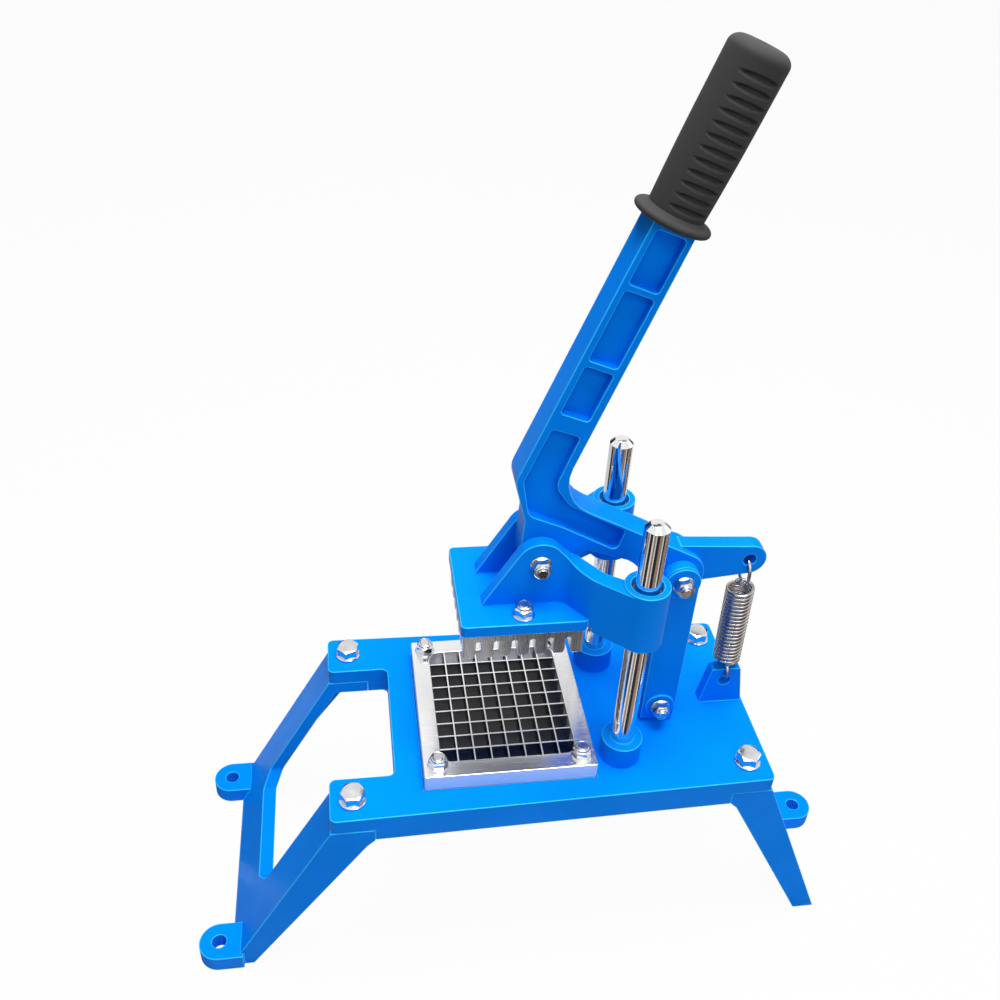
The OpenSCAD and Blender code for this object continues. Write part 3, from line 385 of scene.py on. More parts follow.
def blade(finish, name, along, top):
    """Strip painted near black as the shade down in the grid's cells, with a painted highlight along its
    cutting edge, which lies at height top, where the real edge is also ground bright.
    """
    n = Nodes(name)
    if n.fresh:
        at = n.place()
        lines = n.grain(along)
        split = n.add("ShaderNodeSeparateXYZ")
        n.link(at, split.inputs["Vector"])
        n.set(Metallic=1.0,
              # near-black sides are painted shade of the cells; the bright top band is a painted highlight of
              # the ground edge
              Base_Color=n.tint(n.spread(split.outputs["Z"], 0, 1, top - 0.45 * MM, top - 0.15 * MM),
                                shade(finish.steel, 0.09), shade(finish.steel, 1.3), 0.2, 0.8),
              Roughness=n.spread(lines, 0.22, 0.4), Normal=n.bump(lines, 0.012 * MM, 0.35))
    return n.material


def polished():
    """Ground and polished rod: rings of very fine turning marks, and a few streaks of oil."""
    n = Nodes("polished_rod")
    if n.fresh:
        rings = n.noise(n.place((0.05, 0.05, 1.0)), 4200, 2)
        streak = n.noise(n.place((1, 1, 0.1)), 130, 3)
        n.set(Metallic=1.0, Base_Color=(0.83, 0.82, 0.81, 1),
              Roughness=n.spread(streak, 0.06, 0.17),
              Normal=n.bump(rings, 0.006 * MM, 0.3))
    return n.material


def drawn_wire(finish):
    """Spring steel as it comes from the die."""
    n = Nodes("drawn_wire")
    if n.fresh:
        at = n.place()
        n.set(Metallic=1.0,
              Base_Color=n.tint(n.noise(at, 220, 4), shade(finish.wire_steel, 0.9),
                                shade(finish.wire_steel, 1.15)),
              Roughness=n.spread(n.noise(at, 500, 3), 0.16, 0.26))
    return n.material


def bronze():
    """Sintered bearing bronze, turned."""
    n = Nodes("bearing_bronze")
    if n.fresh:
        rings = n.noise(n.place((0.05, 0.05, 1.0)), 2400, 2)
        n.set(Metallic=1.0,
              Base_Color=n.tint(n.noise(n.place(), 90, 3), (0.42, 0.26, 0.10), (0.60, 0.40, 0.18)),
              Roughness=n.spread(rings, 0.26, 0.42), Normal=n.bump(rings, 0.02 * MM, 0.3))
    return n.material


def rubber(finish):
    """Black moulded rubber with a low sheen."""
    n = Nodes("black_rubber")
    if n.fresh:
        at = n.place()
        n.set(Base_Color=n.tint(n.noise(at, 40, 4), shade(finish.grip, 0.8), shade(finish.grip, 1.6)),
              Roughness=n.spread(n.noise(at, 120, 4), 0.3, 0.4), Specular_IOR_Level=0.12,
              Normal=n.bump(n.noise(at, 700, 3, 0.6), 0.05 * MM, 0.5))
    return n.material


# ---- shapes --------------------------------------


def settings(context):
    """The sizes and the colours that the panel shows."""
    return context.scene.dicer_shape, context.scene.dicer_finish


def smoothed(obj, angle):
    """Shades a turned or bent piece smooth, but for edges that turn by more than the angle."""
    for face in obj.data.polygons:
        face.use_smooth = True
    obj.data.set_sharp_from_angle(angle=math.radians(angle))
    return obj


def make_object(name, bm, material, body, slot, replaced=()):
    """Turns a finished bmesh into a piece that rides on a body and stands for CAD nodes."""
    bmesh.ops.remove_doubles(bm, verts=bm.verts, dist=1e-6)
    mesh = bpy.data.meshes.new(name)
    bm.to_mesh(mesh)
    bm.free()
    mesh.materials.append(material)
    obj = bpy.data.objects.new(name, mesh)
    bpy.context.scene.collection.objects.link(obj)
    if body:
        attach(obj, body)
    if replaced:
        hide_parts(*replaced)
    return obj


def islands(node):
    """The lowest and highest corner of each solid in a CAD node, in a fixed order."""
    bm = bmesh.new()
    bm.from_mesh(NODES[node].data)
    bmesh.ops.remove_doubles(bm, verts=bm.verts, dist=2e-6)
    seen, boxes = set(), []
    for start in bm.verts:
        if start in seen:
            continue
        seen.add(start)
        group, todo = [], [start]
        while todo:
            v = todo.pop()
            group.append(v.co.copy())
            for e in v.link_edges:
                w = e.other_vert(v)
                if w not in seen:
                    seen.add(w)
                    todo.append(w)
        boxes.append((Vector(min(c[k] for c in group) for k in range(3)),
                      Vector(max(c[k] for c in group) for k in range(3))))
    bm.free()
    return sorted(boxes, key=lambda b: tuple(round(x, 5) for x in b[0]))


def turned_part(profile, steps):
    """A piece turned round Z from a closed profile of (radius, height) points."""
    bm = bmesh.new()
    verts = [bm.verts.new((max(r, 0.0), 0, z)) for r, z in profile]
    edges = [bm.edges.new((verts[i], verts[(i + 1) % len(verts)])) for i in range(len(verts))
             if profile[i][0] > 0 or profile[(i + 1) % len(profile)][0] > 0]
    bmesh.ops.spin(bm, geom=verts + edges, cent=(0, 0, 0), axis=(0, 0, 1), angle=math.tau,
                   steps=steps, use_merge=True, use_duplicate=False)
    bmesh.ops.remove_doubles(bm, verts=bm.verts, dist=1e-7)
    bmesh.ops.recalc_face_normals(bm, faces=bm.faces)
    return bm


def placed(part, into, origin, up=Z_AXIS, turn=0.0):
    """Adds the bmesh part to another, with its +Z along up and its origin at origin."""
    rotation = Z_AXIS.rotation_difference(up).to_matrix().to_4x4()
    part.transform(Matrix.Translation(origin) @ rotation @ Matrix.Rotation(turn, 4, "Z"))
    mesh = bpy.data.meshes.new("part")
    part.to_mesh(mesh)
    part.free()
    into.from_mesh(mesh)
    bpy.data.meshes.remove(mesh)


def along(box, up):
    """The middle of a box's low end along up, and its length that way."""
    low, high = box
    half = abs(((high - low) / 2).dot(up))
    return (low + high) / 2 - half * up, 2 * half


def across(box, up):
    """The smaller size of a box square to up: a hexagon's size across its flats."""
    return min(size for size, k in zip(box[1] - box[0], up) if abs(k) < 0.5)


def screw_profile(radius, length, pitch, threaded):
    """A closed profile of a plain shank with thread crests at its far end, and a chamfered tip."""
    depth, tip = 0.3 * pitch, 0.9 * pitch
    points = [(0.0, 0.0), (radius, 0.0), (radius, length - threaded)]
    z = length - threaded
    while z + pitch < length - tip:
        points += [(radius - depth, z + 0.42 * pitch), (radius - depth, z + 0.55 * pitch),
                   (radius, z + 0.92 * pitch), (radius, z + pitch)]
        z += pitch
    points += [(radius - depth, z + 0.42 * pitch), (radius - depth, length - tip / 3),
               (radius - 1.5 * depth, length), (0.0, length)]
    return points


def hex_part(flats, height, rings, bore=0.0, both=False, columns=8):
    """A hexagon standing on z = 0, its top turned to a cone. The rings (radius, height) carry its
    top on inwards, to a lid, or down through a bore to its foot."""
    bm = bmesh.new()
    apothem = flats / 2
    rim = 0.924 * apothem
    fall = math.tan(math.radians(30))
    foot = bmesh.ops.create_circle(bm, segments=6 * columns, radius=apothem)["verts"]
    for v in foot:
        turn = math.atan2(v.co.y, v.co.x) + math.pi / 6
        v.co *= apothem / math.cos(turn % (math.pi / 3) - math.pi / 6) / v.co.length
    lower = list(dict.fromkeys(e for v in foot for e in v.link_edges))

    def raised(ring, change):
        made = bmesh.ops.extrude_edge_only(bm, edges=ring)["geom"]
        verts = [g for g in made if isinstance(g, bmesh.types.BMVert)]
        for v in verts:
            change(v)
        verts = set(verts)
        return [g for g in made if isinstance(g, bmesh.types.BMEdge) and all(w in verts for w in g.verts)]

    def inward(radius, z):
        def change(v):
            v.co.xy = v.co.xy * (radius / v.co.xy.length)
            v.co.z = z
        return change

    def to_shoulder(v):
        v.co.z = height - max(0.0, v.co.xy.length - rim) * fall

    ring = raised(raised(lower, to_shoulder), inward(rim, height))
    for radius, z in rings:
        ring = raised(ring, inward(radius, z))
    if both:
        for v in foot:
            v.co.z = max(0.0, v.co.xy.length - rim) * fall
    if bore:
        bmesh.ops.bridge_loops(bm, edges=lower + raised(ring, inward(bore, 0.0)))
    else:
        bmesh.ops.edgeloop_fill(bm, edges=ring)
        bmesh.ops.edgeloop_fill(bm, edges=lower)
    bmesh.ops.recalc_face_normals(bm, faces=bm.faces)
    return bm


def bolt_head(flats, height):
    """A hexagon head with a slightly raised top."""
    crown = 0.012 * flats
    return hex_part(flats, height, [(0.43 * flats, height + 0.3 * crown), (0.25 * flats, height + crown)])


def plain_nut(flats, height, bore):
    """A hexagon nut, chamfered on both faces."""
    return hex_part(flats, height, [(1.1 * bore, height), (bore, height - 0.1 * bore)], bore, both=True)


def lock_nut(flats, height, bore):
    """A nut whose hexagon carries a rounded collar round a ring of nylon."""
    collar, shoulder = 1.44 * bore, 0.727 * height
    top = height - 0.04 * bore
    return hex_part(flats, shoulder, [
        (collar + 0.02 * bore, shoulder), (collar, shoulder + 0.03 * bore), (collar, top - 0.2 * bore),
        (collar - 0.06 * bore, top - 0.06 * bore), (collar - 0.18 * bore, top),
        (collar - 0.26 * bore, top - 0.02 * bore), (1.14 * bore, top - 0.22 * bore),
        (1.01 * bore, top - 0.24 * bore)], bore)


def washer_part(inner, outer, thick):
    """A stamped washer with soft edges."""
    soft = 0.28 * thick
    return turned_part([(inner, 0.0), (outer - soft, 0.0), (outer, soft), (outer, thick - soft),
                        (outer - soft, thick), (inner + soft, thick), (inner, thick - soft)], 48)


def turned_area(face, normal):
    """A face's area, negative where it is wound against the normal."""
    first, *rest = [vert.co for vert in face.verts]
    return sum((u - first).cross(v - first).dot(normal) / 2 for u, v in zip(rest, rest[1:]))


def flat_regions(bm, rounded):
    """Each flat region between the rounded edges: its normal and its faces."""
    done = set(rounded)
    for face in bm.faces:
        if face in done or face.calc_area() < FLAT_AREA:
            continue
        done.add(face)
        region, todo = [face], [face]
        normal = face.normal.copy()
        level = normal.dot(face.verts[0].co)
        while todo:
            for edge in todo.pop().edges:
                for other in edge.link_faces:
                    if other not in done and all(
                            abs(normal.dot(v.co) - level) < FLAT_GAP for v in other.verts):
                        done.add(other)
                        region.append(other)
                        todo.append(other)
        if len(region) > 1:
            yield normal, region


def refill(bm, rounded):
    """Fills each flat region afresh from its rim, where that gives the same area."""
    plans = []
    for normal, region in list(flat_regions(bm, rounded)):
        area = sum(turned_area(face, normal) for face in region)
        if area < 0:
            normal, area = -normal, -area
        inside = set(region)
        sheet, copies = bmesh.new(), {}
        for edge in dict.fromkeys(e for face in region for e in face.edges):
            if sum(face in inside for face in edge.link_faces) == 1:
                for vert in edge.verts:
                    if vert not in copies:
                        copies[vert] = sheet.verts.new(vert.co)
                sheet.edges.new([copies[vert] for vert in edge.verts])
        origin = {copy: vert for vert, copy in copies.items()}
        filled = bmesh.ops.triangle_fill(sheet, edges=sheet.edges[:], use_beauty=True, normal=normal)
        faces = [f for f in filled["geom"] if isinstance(f, bmesh.types.BMFace)]
        if abs(sum(abs(turned_area(f, normal)) for f in faces) - area) < FLAT_MATCH * area:
            turned = (f.verts if turned_area(f, normal) > 0 else reversed(f.verts) for f in faces)
            plans.append((region, [[origin[v] for v in verts] for verts in turned]))
        sheet.free()
    for region, faces in plans:
        bmesh.ops.delete(bm, geom=region, context="FACES_ONLY")
        for verts in faces:
            if bm.faces.get(verts) is None:
                bm.faces.new(verts)
    bmesh.ops.delete(bm, geom=[e for e in bm.edges if not e.link_faces], context="EDGES")
    bmesh.ops.delete(bm, geom=[v for v in bm.verts if not v.link_faces], context="VERTS")


def fair_leg(bm, head, lean, back, rib):
    """Draws a leg's pads on up to the skirt, and its rib back into its face."""
    out = math.copysign(1, lean)
    face = back + LEG_FACE * math.hypot(1, lean / LEG_RISE)
    for vert in bm.verts:
        if abs((head - vert.co.x) * out - PAD_DEPTH) < 0.05 * MM:
            vert.co.x -= out * PAD_REACH
        if any(abs(vert.co.z - edge) < 0.02 * MM for edge in rib):
            outer = head + lean * (1 - vert.co.z / LEG_RISE)
            depth = (outer - vert.co.x) * out
            if depth > face + 1 * MM:
                vert.co.x = outer - out * face
            elif depth < 0.5 * back:
                vert.co.x = outer - out * back


def softened(node, width, material, segments=3):
    """The CAD node as one smooth skin with rounded edges, standing for the node."""
    bm = bmesh.new()
    bm.from_mesh(NODES[node].data)
    highlit = bm.faces.layers.float.new(HIGHLIGHT_EDGE)
    if node in LEGS:
        fair_leg(bm, *LEGS[node])
    surface = BVHTree.FromBMesh(bm)
    bmesh.ops.remove_doubles(bm, verts=bm.verts, dist=MERGE)
    bmesh.ops.dissolve_degenerate(bm, edges=bm.edges, dist=MERGE)
    bmesh.ops.dissolve_limit(bm, angle_limit=math.radians(2), verts=bm.verts, edges=bm.edges)
    bmesh.ops.connect_verts_concave(bm, faces=bm.faces)
    sharp = [edge for edge in bm.edges
             if len(edge.link_faces) == 2 and edge.calc_face_angle(0) > SHARP]
    rounded = bmesh.ops.bevel(bm, geom=sharp, offset=width, offset_type="OFFSET", segments=segments,
                              profile=0.5, affect="EDGES", clamp_overlap=False, material=-1,
                              loop_slide=False)["faces"]
    for vert in bm.verts:
        near, _normal, _index, distance = surface.find_nearest(vert.co)
        if distance > 0.7 * width:
            vert.co = near
    bm.normal_update()
    refill(bm, rounded)
    # convex rounded faces are marked for the painted edge highlight
    for face in rounded:
        if face.is_valid and sum(edge.calc_face_angle_signed(0) for edge in face.edges) > 0:
            face[highlit] = 1.0
    obj = make_object(f"{node}_skin", bm, material, BODY_OF[node], SLOT_OF[node], (node,))
    for face in obj.data.polygons:
        face.use_smooth = True
    weighted = obj.modifiers.new("flat faces", "WEIGHTED_NORMAL")
    weighted.weight = 60
    weighted.keep_sharp = True
    return obj


def wire_object(name, points, radius, material, body, slot, replaced=()):
    """A round wire through the points, as a mesh with closed ends."""
    curve = bpy.data.curves.new(name, "CURVE")
    curve.dimensions = "3D"
    curve.bevel_depth = radius
    curve.bevel_resolution = WIRE_ROUNDING
    curve.use_fill_caps = True
    spline = curve.splines.new("POLY")
    spline.points.add(len(points) - 1)
    for knot, point in zip(spline.points, points):
        knot.co = (*point, 1)
    holder = bpy.data.objects.new(name + "_line", curve)
    bpy.context.scene.collection.objects.link(holder)
    bpy.context.view_layer.update()
    mesh = bpy.data.meshes.new_from_object(holder.evaluated_get(bpy.context.evaluated_depsgraph_get()))
    bm = bmesh.new()
    bm.from_mesh(mesh)
    bpy.data.objects.remove(holder)
    bpy.data.meshes.remove(mesh)
    bmesh.ops.remove_doubles(bm, verts=bm.verts, dist=1e-7)
    bmesh.ops.recalc_face_normals(bm, faces=bm.faces)
    return smoothed(make_object(name, bm, material, body, slot, replaced), 60)


def smooth_line(points, steps):
    """Points of a smooth curve through the given ones, steps to each span."""
    ends = [2 * points[0] - points[1], *points, 2 * points[-1] - points[-2]]
    line = []
    for a, b, c, d in zip(ends, ends[1:], ends[2:], ends[3:]):
        for i in range(steps):
            t = i / steps
            line.append(0.5 * (2 * b + t * (c - a) + t * t * (2 * a - 5 * b + 4 * c - d)
                               + t * t * t * (3 * b - a - 3 * c + d)))
    return line + [points[-1]]


def hook_line(radius, wall, top, reach, coil):
    """A spring's hook above a hole at the origin: a ring through the hole, a neck and a turn out to
    the coil."""
    low = SPRING_HOLE / 2 - HOOK_SEAT - WIRE / 2 - (radius - math.sqrt(radius ** 2 - wall ** 2 / 4))
    middle = low + radius
    neck = middle + reach + radius + 0.6 * MM
    turn = max(neck + 0.5 * MM, top - 3 * MM)
    points = []
    for degrees in range(-230, 51, 10):
        angle = math.radians(degrees)
        lift = reach * max(0.0, min(1.0, 0.5 + 1.5 * math.sin(angle)))
        points.append(Vector((0, -radius * math.cos(angle), middle + radius * math.sin(angle) + lift)))
    points += [Vector((0, -0.3 * radius, middle + reach + 0.98 * radius)), Vector((0, 0, neck))]
    if turn - neck > 3 * MM:
        points.append(Vector((0, 0, turn)))
    for degrees in (30, 60, 90, 120, 150, 165, 180):
        angle, out = math.radians(degrees), coil * math.sin(math.radians(degrees / 2))
        points.append(Vector((-out * math.cos(angle), -out * math.sin(angle),
                              turn + (top - turn) * degrees / 180)))
    return smooth_line(points, 3)


# ---- operators -----------------------------------


class DICER_OT_castings(Operator):
    """Skin the painted castings with soft edges"""
    bl_idname = "dicer.castings"
    bl_label = "Castings"

    def execute(self, context):
        shape, finish = settings(context)
        for node in CASTINGS:
            softened(node, shape.cast_edge, paint(finish))
        return {"FINISHED"}


class DICER_OT_cutter(Operator):
    """Dress the blade grid's frame, its blades and the pegged pusher"""
    bl_idname = "dicer.cutter"
    bl_label = "Cutter and pusher"

    def execute(self, context):
        shape, finish = settings(context)
        frame_steel = ground(finish, "ground_frame", 1.2, along=0, rough=0.13, sides=0.3)
        pusher_steel = ground(finish, "ground_pusher", 0.86, along=2, rough=0.2, sides=0.9)
        softened("cutter_frame", shape.ground_edge, frame_steel, 2)
        softened("pusher_block", shape.ground_edge, pusher_steel, 2)
        for node, run in (("lengthwise_blades", 0), ("crosswise_blades", 1)):
            dress(node, blade(finish, "blade_strip_" + "xy"[run], run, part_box(node)[1].z))
        return {"FINISHED"}


def dress(node, material):
    """Gives a CAD node that stays on show its finish."""
    obj = NODES[node]
    if not obj.data.materials:
        obj.data.materials.append(material)
    for slot in obj.material_slots:
        slot.material = material


class DICER_OT_fasteners(Operator):
    """Turn the bolts, nuts, studs and washers"""
    bl_idname = "dicer.fasteners"
    bl_label = "Fasteners"

    def execute(self, context):
        shape, finish = settings(context)
        count = 0
        for node, (kind, up, size) in FASTENERS.items():
            radius = size * MM
            pitch = shape.thread_pitch * size / 3
            threaded = THREAD_TURNS * pitch
            bm = bmesh.new()
            for box in islands(node):
                foot, length = along(box, up)
                turn = math.pi / 6 + SPANNER_TURNS[count % len(SPANNER_TURNS)]
                count += 1
                if kind == "bolt":
                    head = 2 * HEAD_K * radius
                    under = foot + (length - head) * up
                    placed(bolt_head(across(box, up), head), bm, under, up, turn)
                    shank = screw_profile(radius, length - head, pitch, threaded)
                    placed(turned_part(shank, 32), bm, under, -up)
                elif kind == "stud":
                    placed(turned_part(screw_profile(radius, length, pitch, threaded), 32), bm, foot, up)
                elif kind == "washer":
                    placed(washer_part(1.03 * radius, across(box, up) / 2, length), bm, foot, up)
                else:
                    part = lock_nut if kind == "lock nut" else plain_nut
                    placed(part(across(box, up), length, radius), bm, foot, up, turn)
            smoothed(make_object(f"{node}_turned", bm, plated(finish), BODY_OF[node], SLOT_OF[node],
                                 (node,)), 24)
        return {"FINISHED"}


class DICER_OT_rods(Operator):
    """Turn the guide rods and the bushes that run on them"""
    bl_idname = "dicer.rods"
    bl_label = "Rods and bushes"

    def execute(self, context):
        shape, _finish = settings(context)
        pitch = shape.thread_pitch * 5 / 3
        thread = screw_profile(NECK_RADIUS, ROD_NECK, pitch, NECK_TURNS * pitch)
        neck = [(r, ROD_NECK - z) for r, z in reversed(thread)]
        for side, box in zip(("near", "far"), islands("guide_rods")):
            foot, length = along(box, Z_AXIS)
            radius = (box[1].x - box[0].x) / 2
            soft = 0.06 * ROD_BEVEL
            profile = neck[:-1] + [
                (radius - 2 * soft, ROD_NECK), (radius, ROD_NECK + 2 * soft),
                (radius, length - ROD_BEVEL - soft), (radius - 0.3 * soft, length - ROD_BEVEL + 0.3 * soft),
                (radius - ROD_BEVEL + 0.6 * soft, length - soft), (radius - ROD_BEVEL, length - 0.4 * soft),
                (radius - ROD_BEVEL - soft, length), (0.0, length)]
            bm = bmesh.new()
            placed(turned_part(profile, 72), bm, foot)
            smoothed(make_object(f"guide_rod_{side}", bm, polished(), BODY_OF["guide_rods"],
                                 SLOT_OF["guide_rods"], ("guide_rods",)), 30)
        bm = bmesh.new()
        for box in islands("guide_bushes"):
            foot, length = along(box, Z_AXIS)
            outer = (box[1].x - box[0].x) / 2
            soft = 0.15 * (outer - radius)
            placed(turned_part([
                (radius + ROD_SLACK, 2 * soft), (radius + ROD_SLACK + soft, 0.0), (outer - soft, 0.0),
                (outer, soft), (outer, length - soft), (outer - soft, length),
                (radius + ROD_SLACK + soft, length), (radius + ROD_SLACK, length - 2 * soft)], 64), bm, foot)
        smoothed(make_object("guide_bushes_turned", bm, bronze(), BODY_OF["guide_bushes"],
                             SLOT_OF["guide_bushes"], ("guide_bushes",)), 30)
        return {"FINISHED"}


class DICER_OT_grip(Operator):
    """Mould the rubber grip with its collar and its ribs"""
    bl_idname = "dicer.grip"
    bl_label = "Grip"

    def execute(self, context):
        shape, finish = settings(context)
        radius, end, lip, hole = GRIP_RADIUS, GRIP_LENGTH, 0.45 * COLLAR_THICK, END_HOLE
        profile = [(GRIP_BORE, 0.0), (COLLAR_RADIUS - lip, 0.0)]
        profile += [(COLLAR_RADIUS - lip + lip * math.sin(t), lip - lip * math.cos(t))
                    for t in (math.pi * k / 8 for k in range(1, 8))]
        top = 2 * lip
        profile += [(COLLAR_RADIUS - lip, top), (radius + 1.6 * MM, top + 0.1 * MM),
                    (radius + 0.3 * MM, top + 0.5 * MM), (radius - GRIP_WAIST, top + 1.8 * MM)]
        z = top + 2.4 * MM
        while z < end - GRIP_CROWN:
            ease = min(1.0, (z - top) / (0.6 * end))
            profile.append((radius - GRIP_WAIST * (1 - ease) ** 2, z))
            z += GRIP_RING
        for k in range(13):
            t = math.pi / 2 * k / 12
            profile.append((radius - GRIP_CROWN * (1 - math.cos(t)),
                            end - GRIP_CROWN * 0.8 * (1 - math.sin(t))))
        profile += [(hole + 1 * MM, end - 0.1 * MM), (hole + 0.3 * MM, end - 0.4 * MM), (hole, end - 1 * MM),
                    (hole, end - 9 * MM), (GRIP_BORE, end - 9.5 * MM)]
        bm = turned_part(profile, 96)
        self.press_ribs(bm, shape, top + RIB_FIRST, end - RIB_LAST)
        grip = bmesh.new()
        lean = Vector((math.sin(HANDLE_LEAN), 0, math.cos(HANDLE_LEAN)))
        placed(bm, grip, ELBOW + GRIP_FOOT * lean, lean)
        smoothed(make_object("handle_grip_moulded", grip, rubber(finish), BODY_OF["handle_grip"],
                             SLOT_OF["handle_grip"], ("handle_grip",)), 50)
        return {"FINISHED"}

    def press_ribs(self, bm, shape, first, last):
        """Lens-shaped hollows on the grip's two sides: each sinks slowly and ends in a steep lip."""
        step = (last - first) / (shape.grip_ribs - 1)
        for v in bm.verts:
            out = v.co.xy.length
            turn = abs(math.atan2(v.co.y, v.co.x)) - math.pi / 2
            inner = out < GRIP_RADIUS - 2 * MM
            if inner or v.co.z > GRIP_LENGTH - GRIP_CROWN or abs(turn) >= RIB_SPREAD:
                continue
            lens = 1 - (turn / RIB_SPREAD) ** 2
            place = (v.co.z - first) / step
            k = min(max(round(place), 0), shape.grip_ribs - 1)
            u = (place - k) * step / (RIB_HALF * (0.35 + 0.65 * lens))
            if abs(u) < 1:
                hollow = (1 + u) / 1.6 if u < 0.6 else (1 - u) / 0.4
                hollow = hollow * hollow * (3 - 2 * hollow)
                v.co.xy *= 1 - shape.rib_depth * hollow * min(1.0, 2.5 * lens) / out


class DICER_OT_spring(Operator):
    """Wind the return spring and bend its two hooks"""
    bl_idname = "dicer.spring"
    bl_label = "Return spring"

    def execute(self, context):
        shape, finish = settings(context)
        joints = {j["name"]: j for j in RECORD["behaviour"]["joints"]}
        foot, axis = Vector(joints["spring_swing"]["pos_m"]), Vector(joints["spring_stretch"]["axis"])
        stand = Matrix.Translation(foot) @ Z_AXIS.rotation_difference(axis).to_matrix().to_4x4()
        hang = stand @ Matrix.Translation((0, 0, SPRING_SPAN)) @ Matrix.Rotation(math.pi, 4, "X")
        metal, thick = drawn_wire(finish), shape.wire / 2
        low = hook_line(LOW_HOOK, LUG_THICK, COIL_START, 0.0, COIL)
        high = hook_line(HIGH_HOOK, TAIL_THICK, SPRING_SPAN - COIL_END, HOOK_REACH, COIL)
        for node, points, at in (("spring_lower_hook", low, stand), ("spring_upper_hook", high, hang)):
            wire_object(f"{node}_bent", [at @ p for p in points], thick, metal, BODY_OF[node],
                        SLOT_OF[node], (node,))
        steps = COIL_POINTS * shape.coils
        rise = (COIL_END - COIL_START) / steps
        turns = (math.tau * i / COIL_POINTS for i in range(steps + 1))
        helix = [stand @ Vector((COIL * math.cos(t), COIL * math.sin(t), COIL_START + rise * i))
                 for i, t in enumerate(turns)]
        coil = wire_object("return_spring_wound", helix, thick, metal, None, SLOT_OF["return_spring"],
                           ("return_spring",))
        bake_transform(coil)
        return {"FINISHED"}


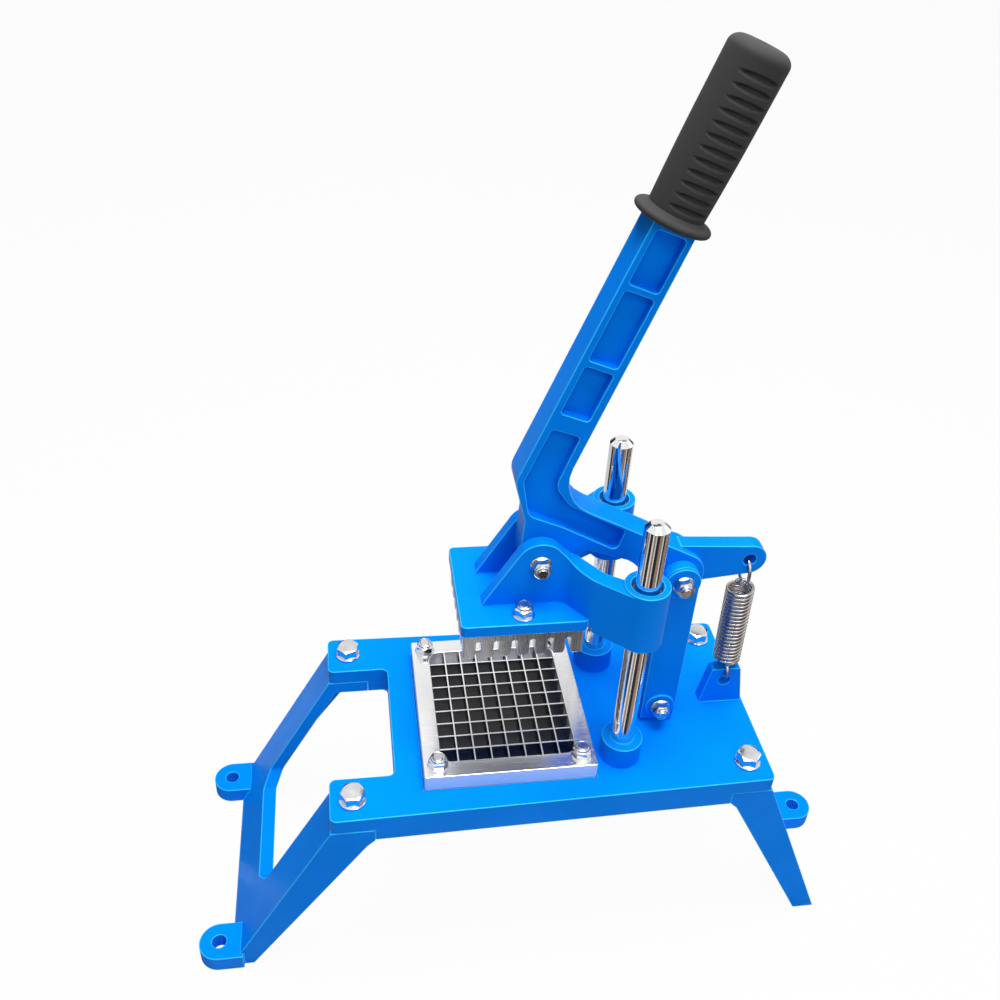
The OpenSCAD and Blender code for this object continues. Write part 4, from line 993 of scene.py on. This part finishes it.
class DICER_OT_stage(Operator):
    """Lay the floor, hang the lights and the dark flags, and set the camera"""
    bl_idname = "dicer.stage"
    bl_label = "Stage"

    def execute(self, context):
        stage = context.scene.dicer_stage
        scene = context.scene
        scene.view_settings.view_transform = "Standard"
        floor = bmesh.new()
        bmesh.ops.create_grid(floor, x_segments=2, y_segments=2, size=FLOOR_REACH)
        self.prop(scene, "floor", floor, self.pale(stage))
        self.flags(scene, stage)
        for name, (at, size, share) in LAMPS.items():
            self.light(scene, name, at, size, share * stage.light)
        self.world(scene, stage)
        self.camera(scene)
        return {"FINISHED"}

    def prop(self, scene, name, bm, material):
        """Adds a piece of the stage, which isn't part of the object."""
        mesh = bpy.data.meshes.new(name)
        bm.to_mesh(mesh)
        bm.free()
        mesh.materials.append(material)
        obj = bpy.data.objects.new(name, mesh)
        scene.collection.objects.link(obj)
        return obj

    def pale(self, stage):
        """A pale floor that the camera sees nearly white, with the shadow still on it."""
        n = Nodes("pale_floor")
        n.set(Base_Color=(*stage.floor, 1), Roughness=0.9, Specular_IOR_Level=0.1)
        white = n.add("ShaderNodeEmission")
        white.inputs["Color"].default_value = (1, 1, 1, 1)
        path, share, mix = n.add("ShaderNodeLightPath"), n.add("ShaderNodeMath"), n.add("ShaderNodeMixShader")
        share.operation = "MULTIPLY"
        share.inputs[1].default_value = stage.white
        n.link(path.outputs["Is Camera Ray"], share.inputs[0])
        n.link(share.outputs["Value"], mix.inputs["Fac"])
        n.link(n.shader.outputs["BSDF"], mix.inputs[1])
        n.link(white.outputs["Emission"], mix.inputs[2])
        n.link(mix.outputs["Shader"], n.tree.nodes["Material Output"].inputs["Surface"])
        return n.material

    def flags(self, scene, stage):
        """Cards round the object that only reflections see, as a studio has round polished metal."""
        for tone, colour in (("dark", stage.dark_flag), ("warm", stage.warm_flag)):
            n = Nodes(f"{tone}_flag")
            n.set(Base_Color=(*colour, 1), Roughness=1.0, Specular_IOR_Level=0.0)
            bm = bmesh.new()
            for middle, width, near, far in FLOOR_FLAGS[tone]:
                self.swept(bm, middle, width, ((near, FLAG_LIFT), (far, FLAG_LIFT)))
            bmesh.ops.translate(bm, verts=bm.verts, vec=FLAG_CENTRE)
            for middle, width, low, high in WALL_FLAGS[tone]:
                self.swept(bm, middle, width, ((WALL, low), (WALL, high)))
            obj = self.prop(scene, f"{tone}_flags", bm, n.material)
            for ray in ("camera", "diffuse", "shadow", "transmission", "volume_scatter"):
                setattr(obj, f"visible_{ray}", False)

    def swept(self, bm, middle, width, ends):
        """A strip swept round the Z axis between two points given by radius and height."""
        start = math.radians(middle - width / 2)
        foot = [bm.verts.new((r * math.cos(start), r * math.sin(start), z)) for r, z in ends]
        edge = bm.edges.new(foot)
        bmesh.ops.spin(bm, geom=foot + [edge], cent=(0, 0, 0), axis=(0, 0, 1),
                       angle=math.radians(width), steps=6, use_duplicate=False)

    def light(self, scene, name, at, size, power):
        lamp = bpy.data.lights.new(name, "AREA")
        lamp.shape = "DISK"
        lamp.size = size
        lamp.energy = power
        obj = bpy.data.objects.new(name, lamp)
        obj.location = at
        obj.rotation_euler = (LAMP_AIM - Vector(at)).to_track_quat("-Z", "Y").to_euler()
        scene.collection.objects.link(obj)

    def world(self, scene, stage):
        """White to the eye and in reflections, and a soft sky for the light that it gives."""
        world = bpy.data.worlds.new("studio")
        scene.world = world
        world.use_nodes = True
        tree = world.node_tree
        tree.nodes.clear()
        out, mix, path, plain, sky, coord, split, ramp, first, second = (
            tree.nodes.new("ShaderNode" + kind) for kind in (
                "OutputWorld", "MixShader", "LightPath", "Background", "Background", "TexCoord",
                "SeparateXYZ", "ValToRGB", "Math", "Math"))
        first.operation = second.operation = "MAXIMUM"
        sky.inputs["Strength"].default_value = stage.sky
        ramp.color_ramp.elements[0].position, ramp.color_ramp.elements[1].position = 0.0, 0.8
        ramp.color_ramp.elements[0].color = (0.3, 0.3, 0.3, 1)
        ramp.color_ramp.elements[1].color = (1, 1, 1, 1)
        plain.inputs["Color"].default_value = (1, 1, 1, 1)
        link = tree.links.new
        link(coord.outputs["Generated"], split.inputs["Vector"])
        link(split.outputs["Z"], ramp.inputs["Fac"])
        link(ramp.outputs["Color"], sky.inputs["Color"])
        link(path.outputs["Is Camera Ray"], first.inputs[0])
        link(path.outputs["Is Glossy Ray"], first.inputs[1])
        link(first.outputs["Value"], second.inputs[0])
        link(path.outputs["Is Transmission Ray"], second.inputs[1])
        link(second.outputs["Value"], mix.inputs["Fac"])
        link(sky.outputs["Background"], mix.inputs[1])
        link(plain.outputs["Background"], mix.inputs[2])
        link(mix.outputs["Shader"], out.inputs["Surface"])

    def camera(self, scene):
        lens = bpy.data.cameras.new("view")
        lens.lens = CAMERA["lens"]
        lens.sensor_width = CAMERA["sensor"]
        lens.clip_start = 0.01
        obj = bpy.data.objects.new("view", lens)
        turn, rise, roll = (math.radians(CAMERA[k]) for k in ("azimuth", "elevation", "roll"))
        obj.matrix_world = (Matrix.Translation(CAMERA["at"]) @ Matrix.Rotation(turn, 4, "Z")
                            @ Matrix.Rotation(math.pi / 2 - rise, 4, "X") @ Matrix.Rotation(roll, 4, "Z"))
        scene.collection.objects.link(obj)
        scene.camera = obj


class DICER_PT_panel(Panel):
    """The dicer's pieces, in the sidebar"""
    bl_label = "Vegetable dicer"
    bl_idname = "DICER_PT_panel"
    bl_space_type = "VIEW_3D"
    bl_region_type = "UI"
    bl_category = "Dicer"

    def draw(self, context):
        column = self.layout.column(align=True)
        for group in (context.scene.dicer_shape, context.scene.dicer_finish, context.scene.dicer_stage):
            for key in group.bl_rna.properties.keys():
                if key not in ("rna_type", "name"):
                    column.prop(group, key)
        for operator in OPERATORS:
            column.operator(operator.bl_idname)


OPERATORS = (DICER_OT_castings, DICER_OT_cutter, DICER_OT_fasteners, DICER_OT_rods, DICER_OT_grip,
             DICER_OT_spring, DICER_OT_stage)
CLASSES = (DicerShape, DicerFinish, DicerStage, *OPERATORS, DICER_PT_panel)


def register():
    for cls in CLASSES:
        bpy.utils.register_class(cls)
    bpy.types.Scene.dicer_shape = PointerProperty(type=DicerShape)
    bpy.types.Scene.dicer_finish = PointerProperty(type=DicerFinish)
    bpy.types.Scene.dicer_stage = PointerProperty(type=DicerStage)


def unregister():
    for name in ("dicer_shape", "dicer_finish", "dicer_stage"):
        delattr(bpy.types.Scene, name)
    for cls in reversed(CLASSES):
        bpy.utils.unregister_class(cls)


def main():
    register()
    bpy.ops.dicer.castings()
    bpy.ops.dicer.cutter()
    bpy.ops.dicer.fasteners()
    bpy.ops.dicer.rods()
    bpy.ops.dicer.grip()
    bpy.ops.dicer.spring()
    bpy.ops.dicer.stage()
    bpy.context.view_layer.update()


if __name__ == "__main__":
    main()
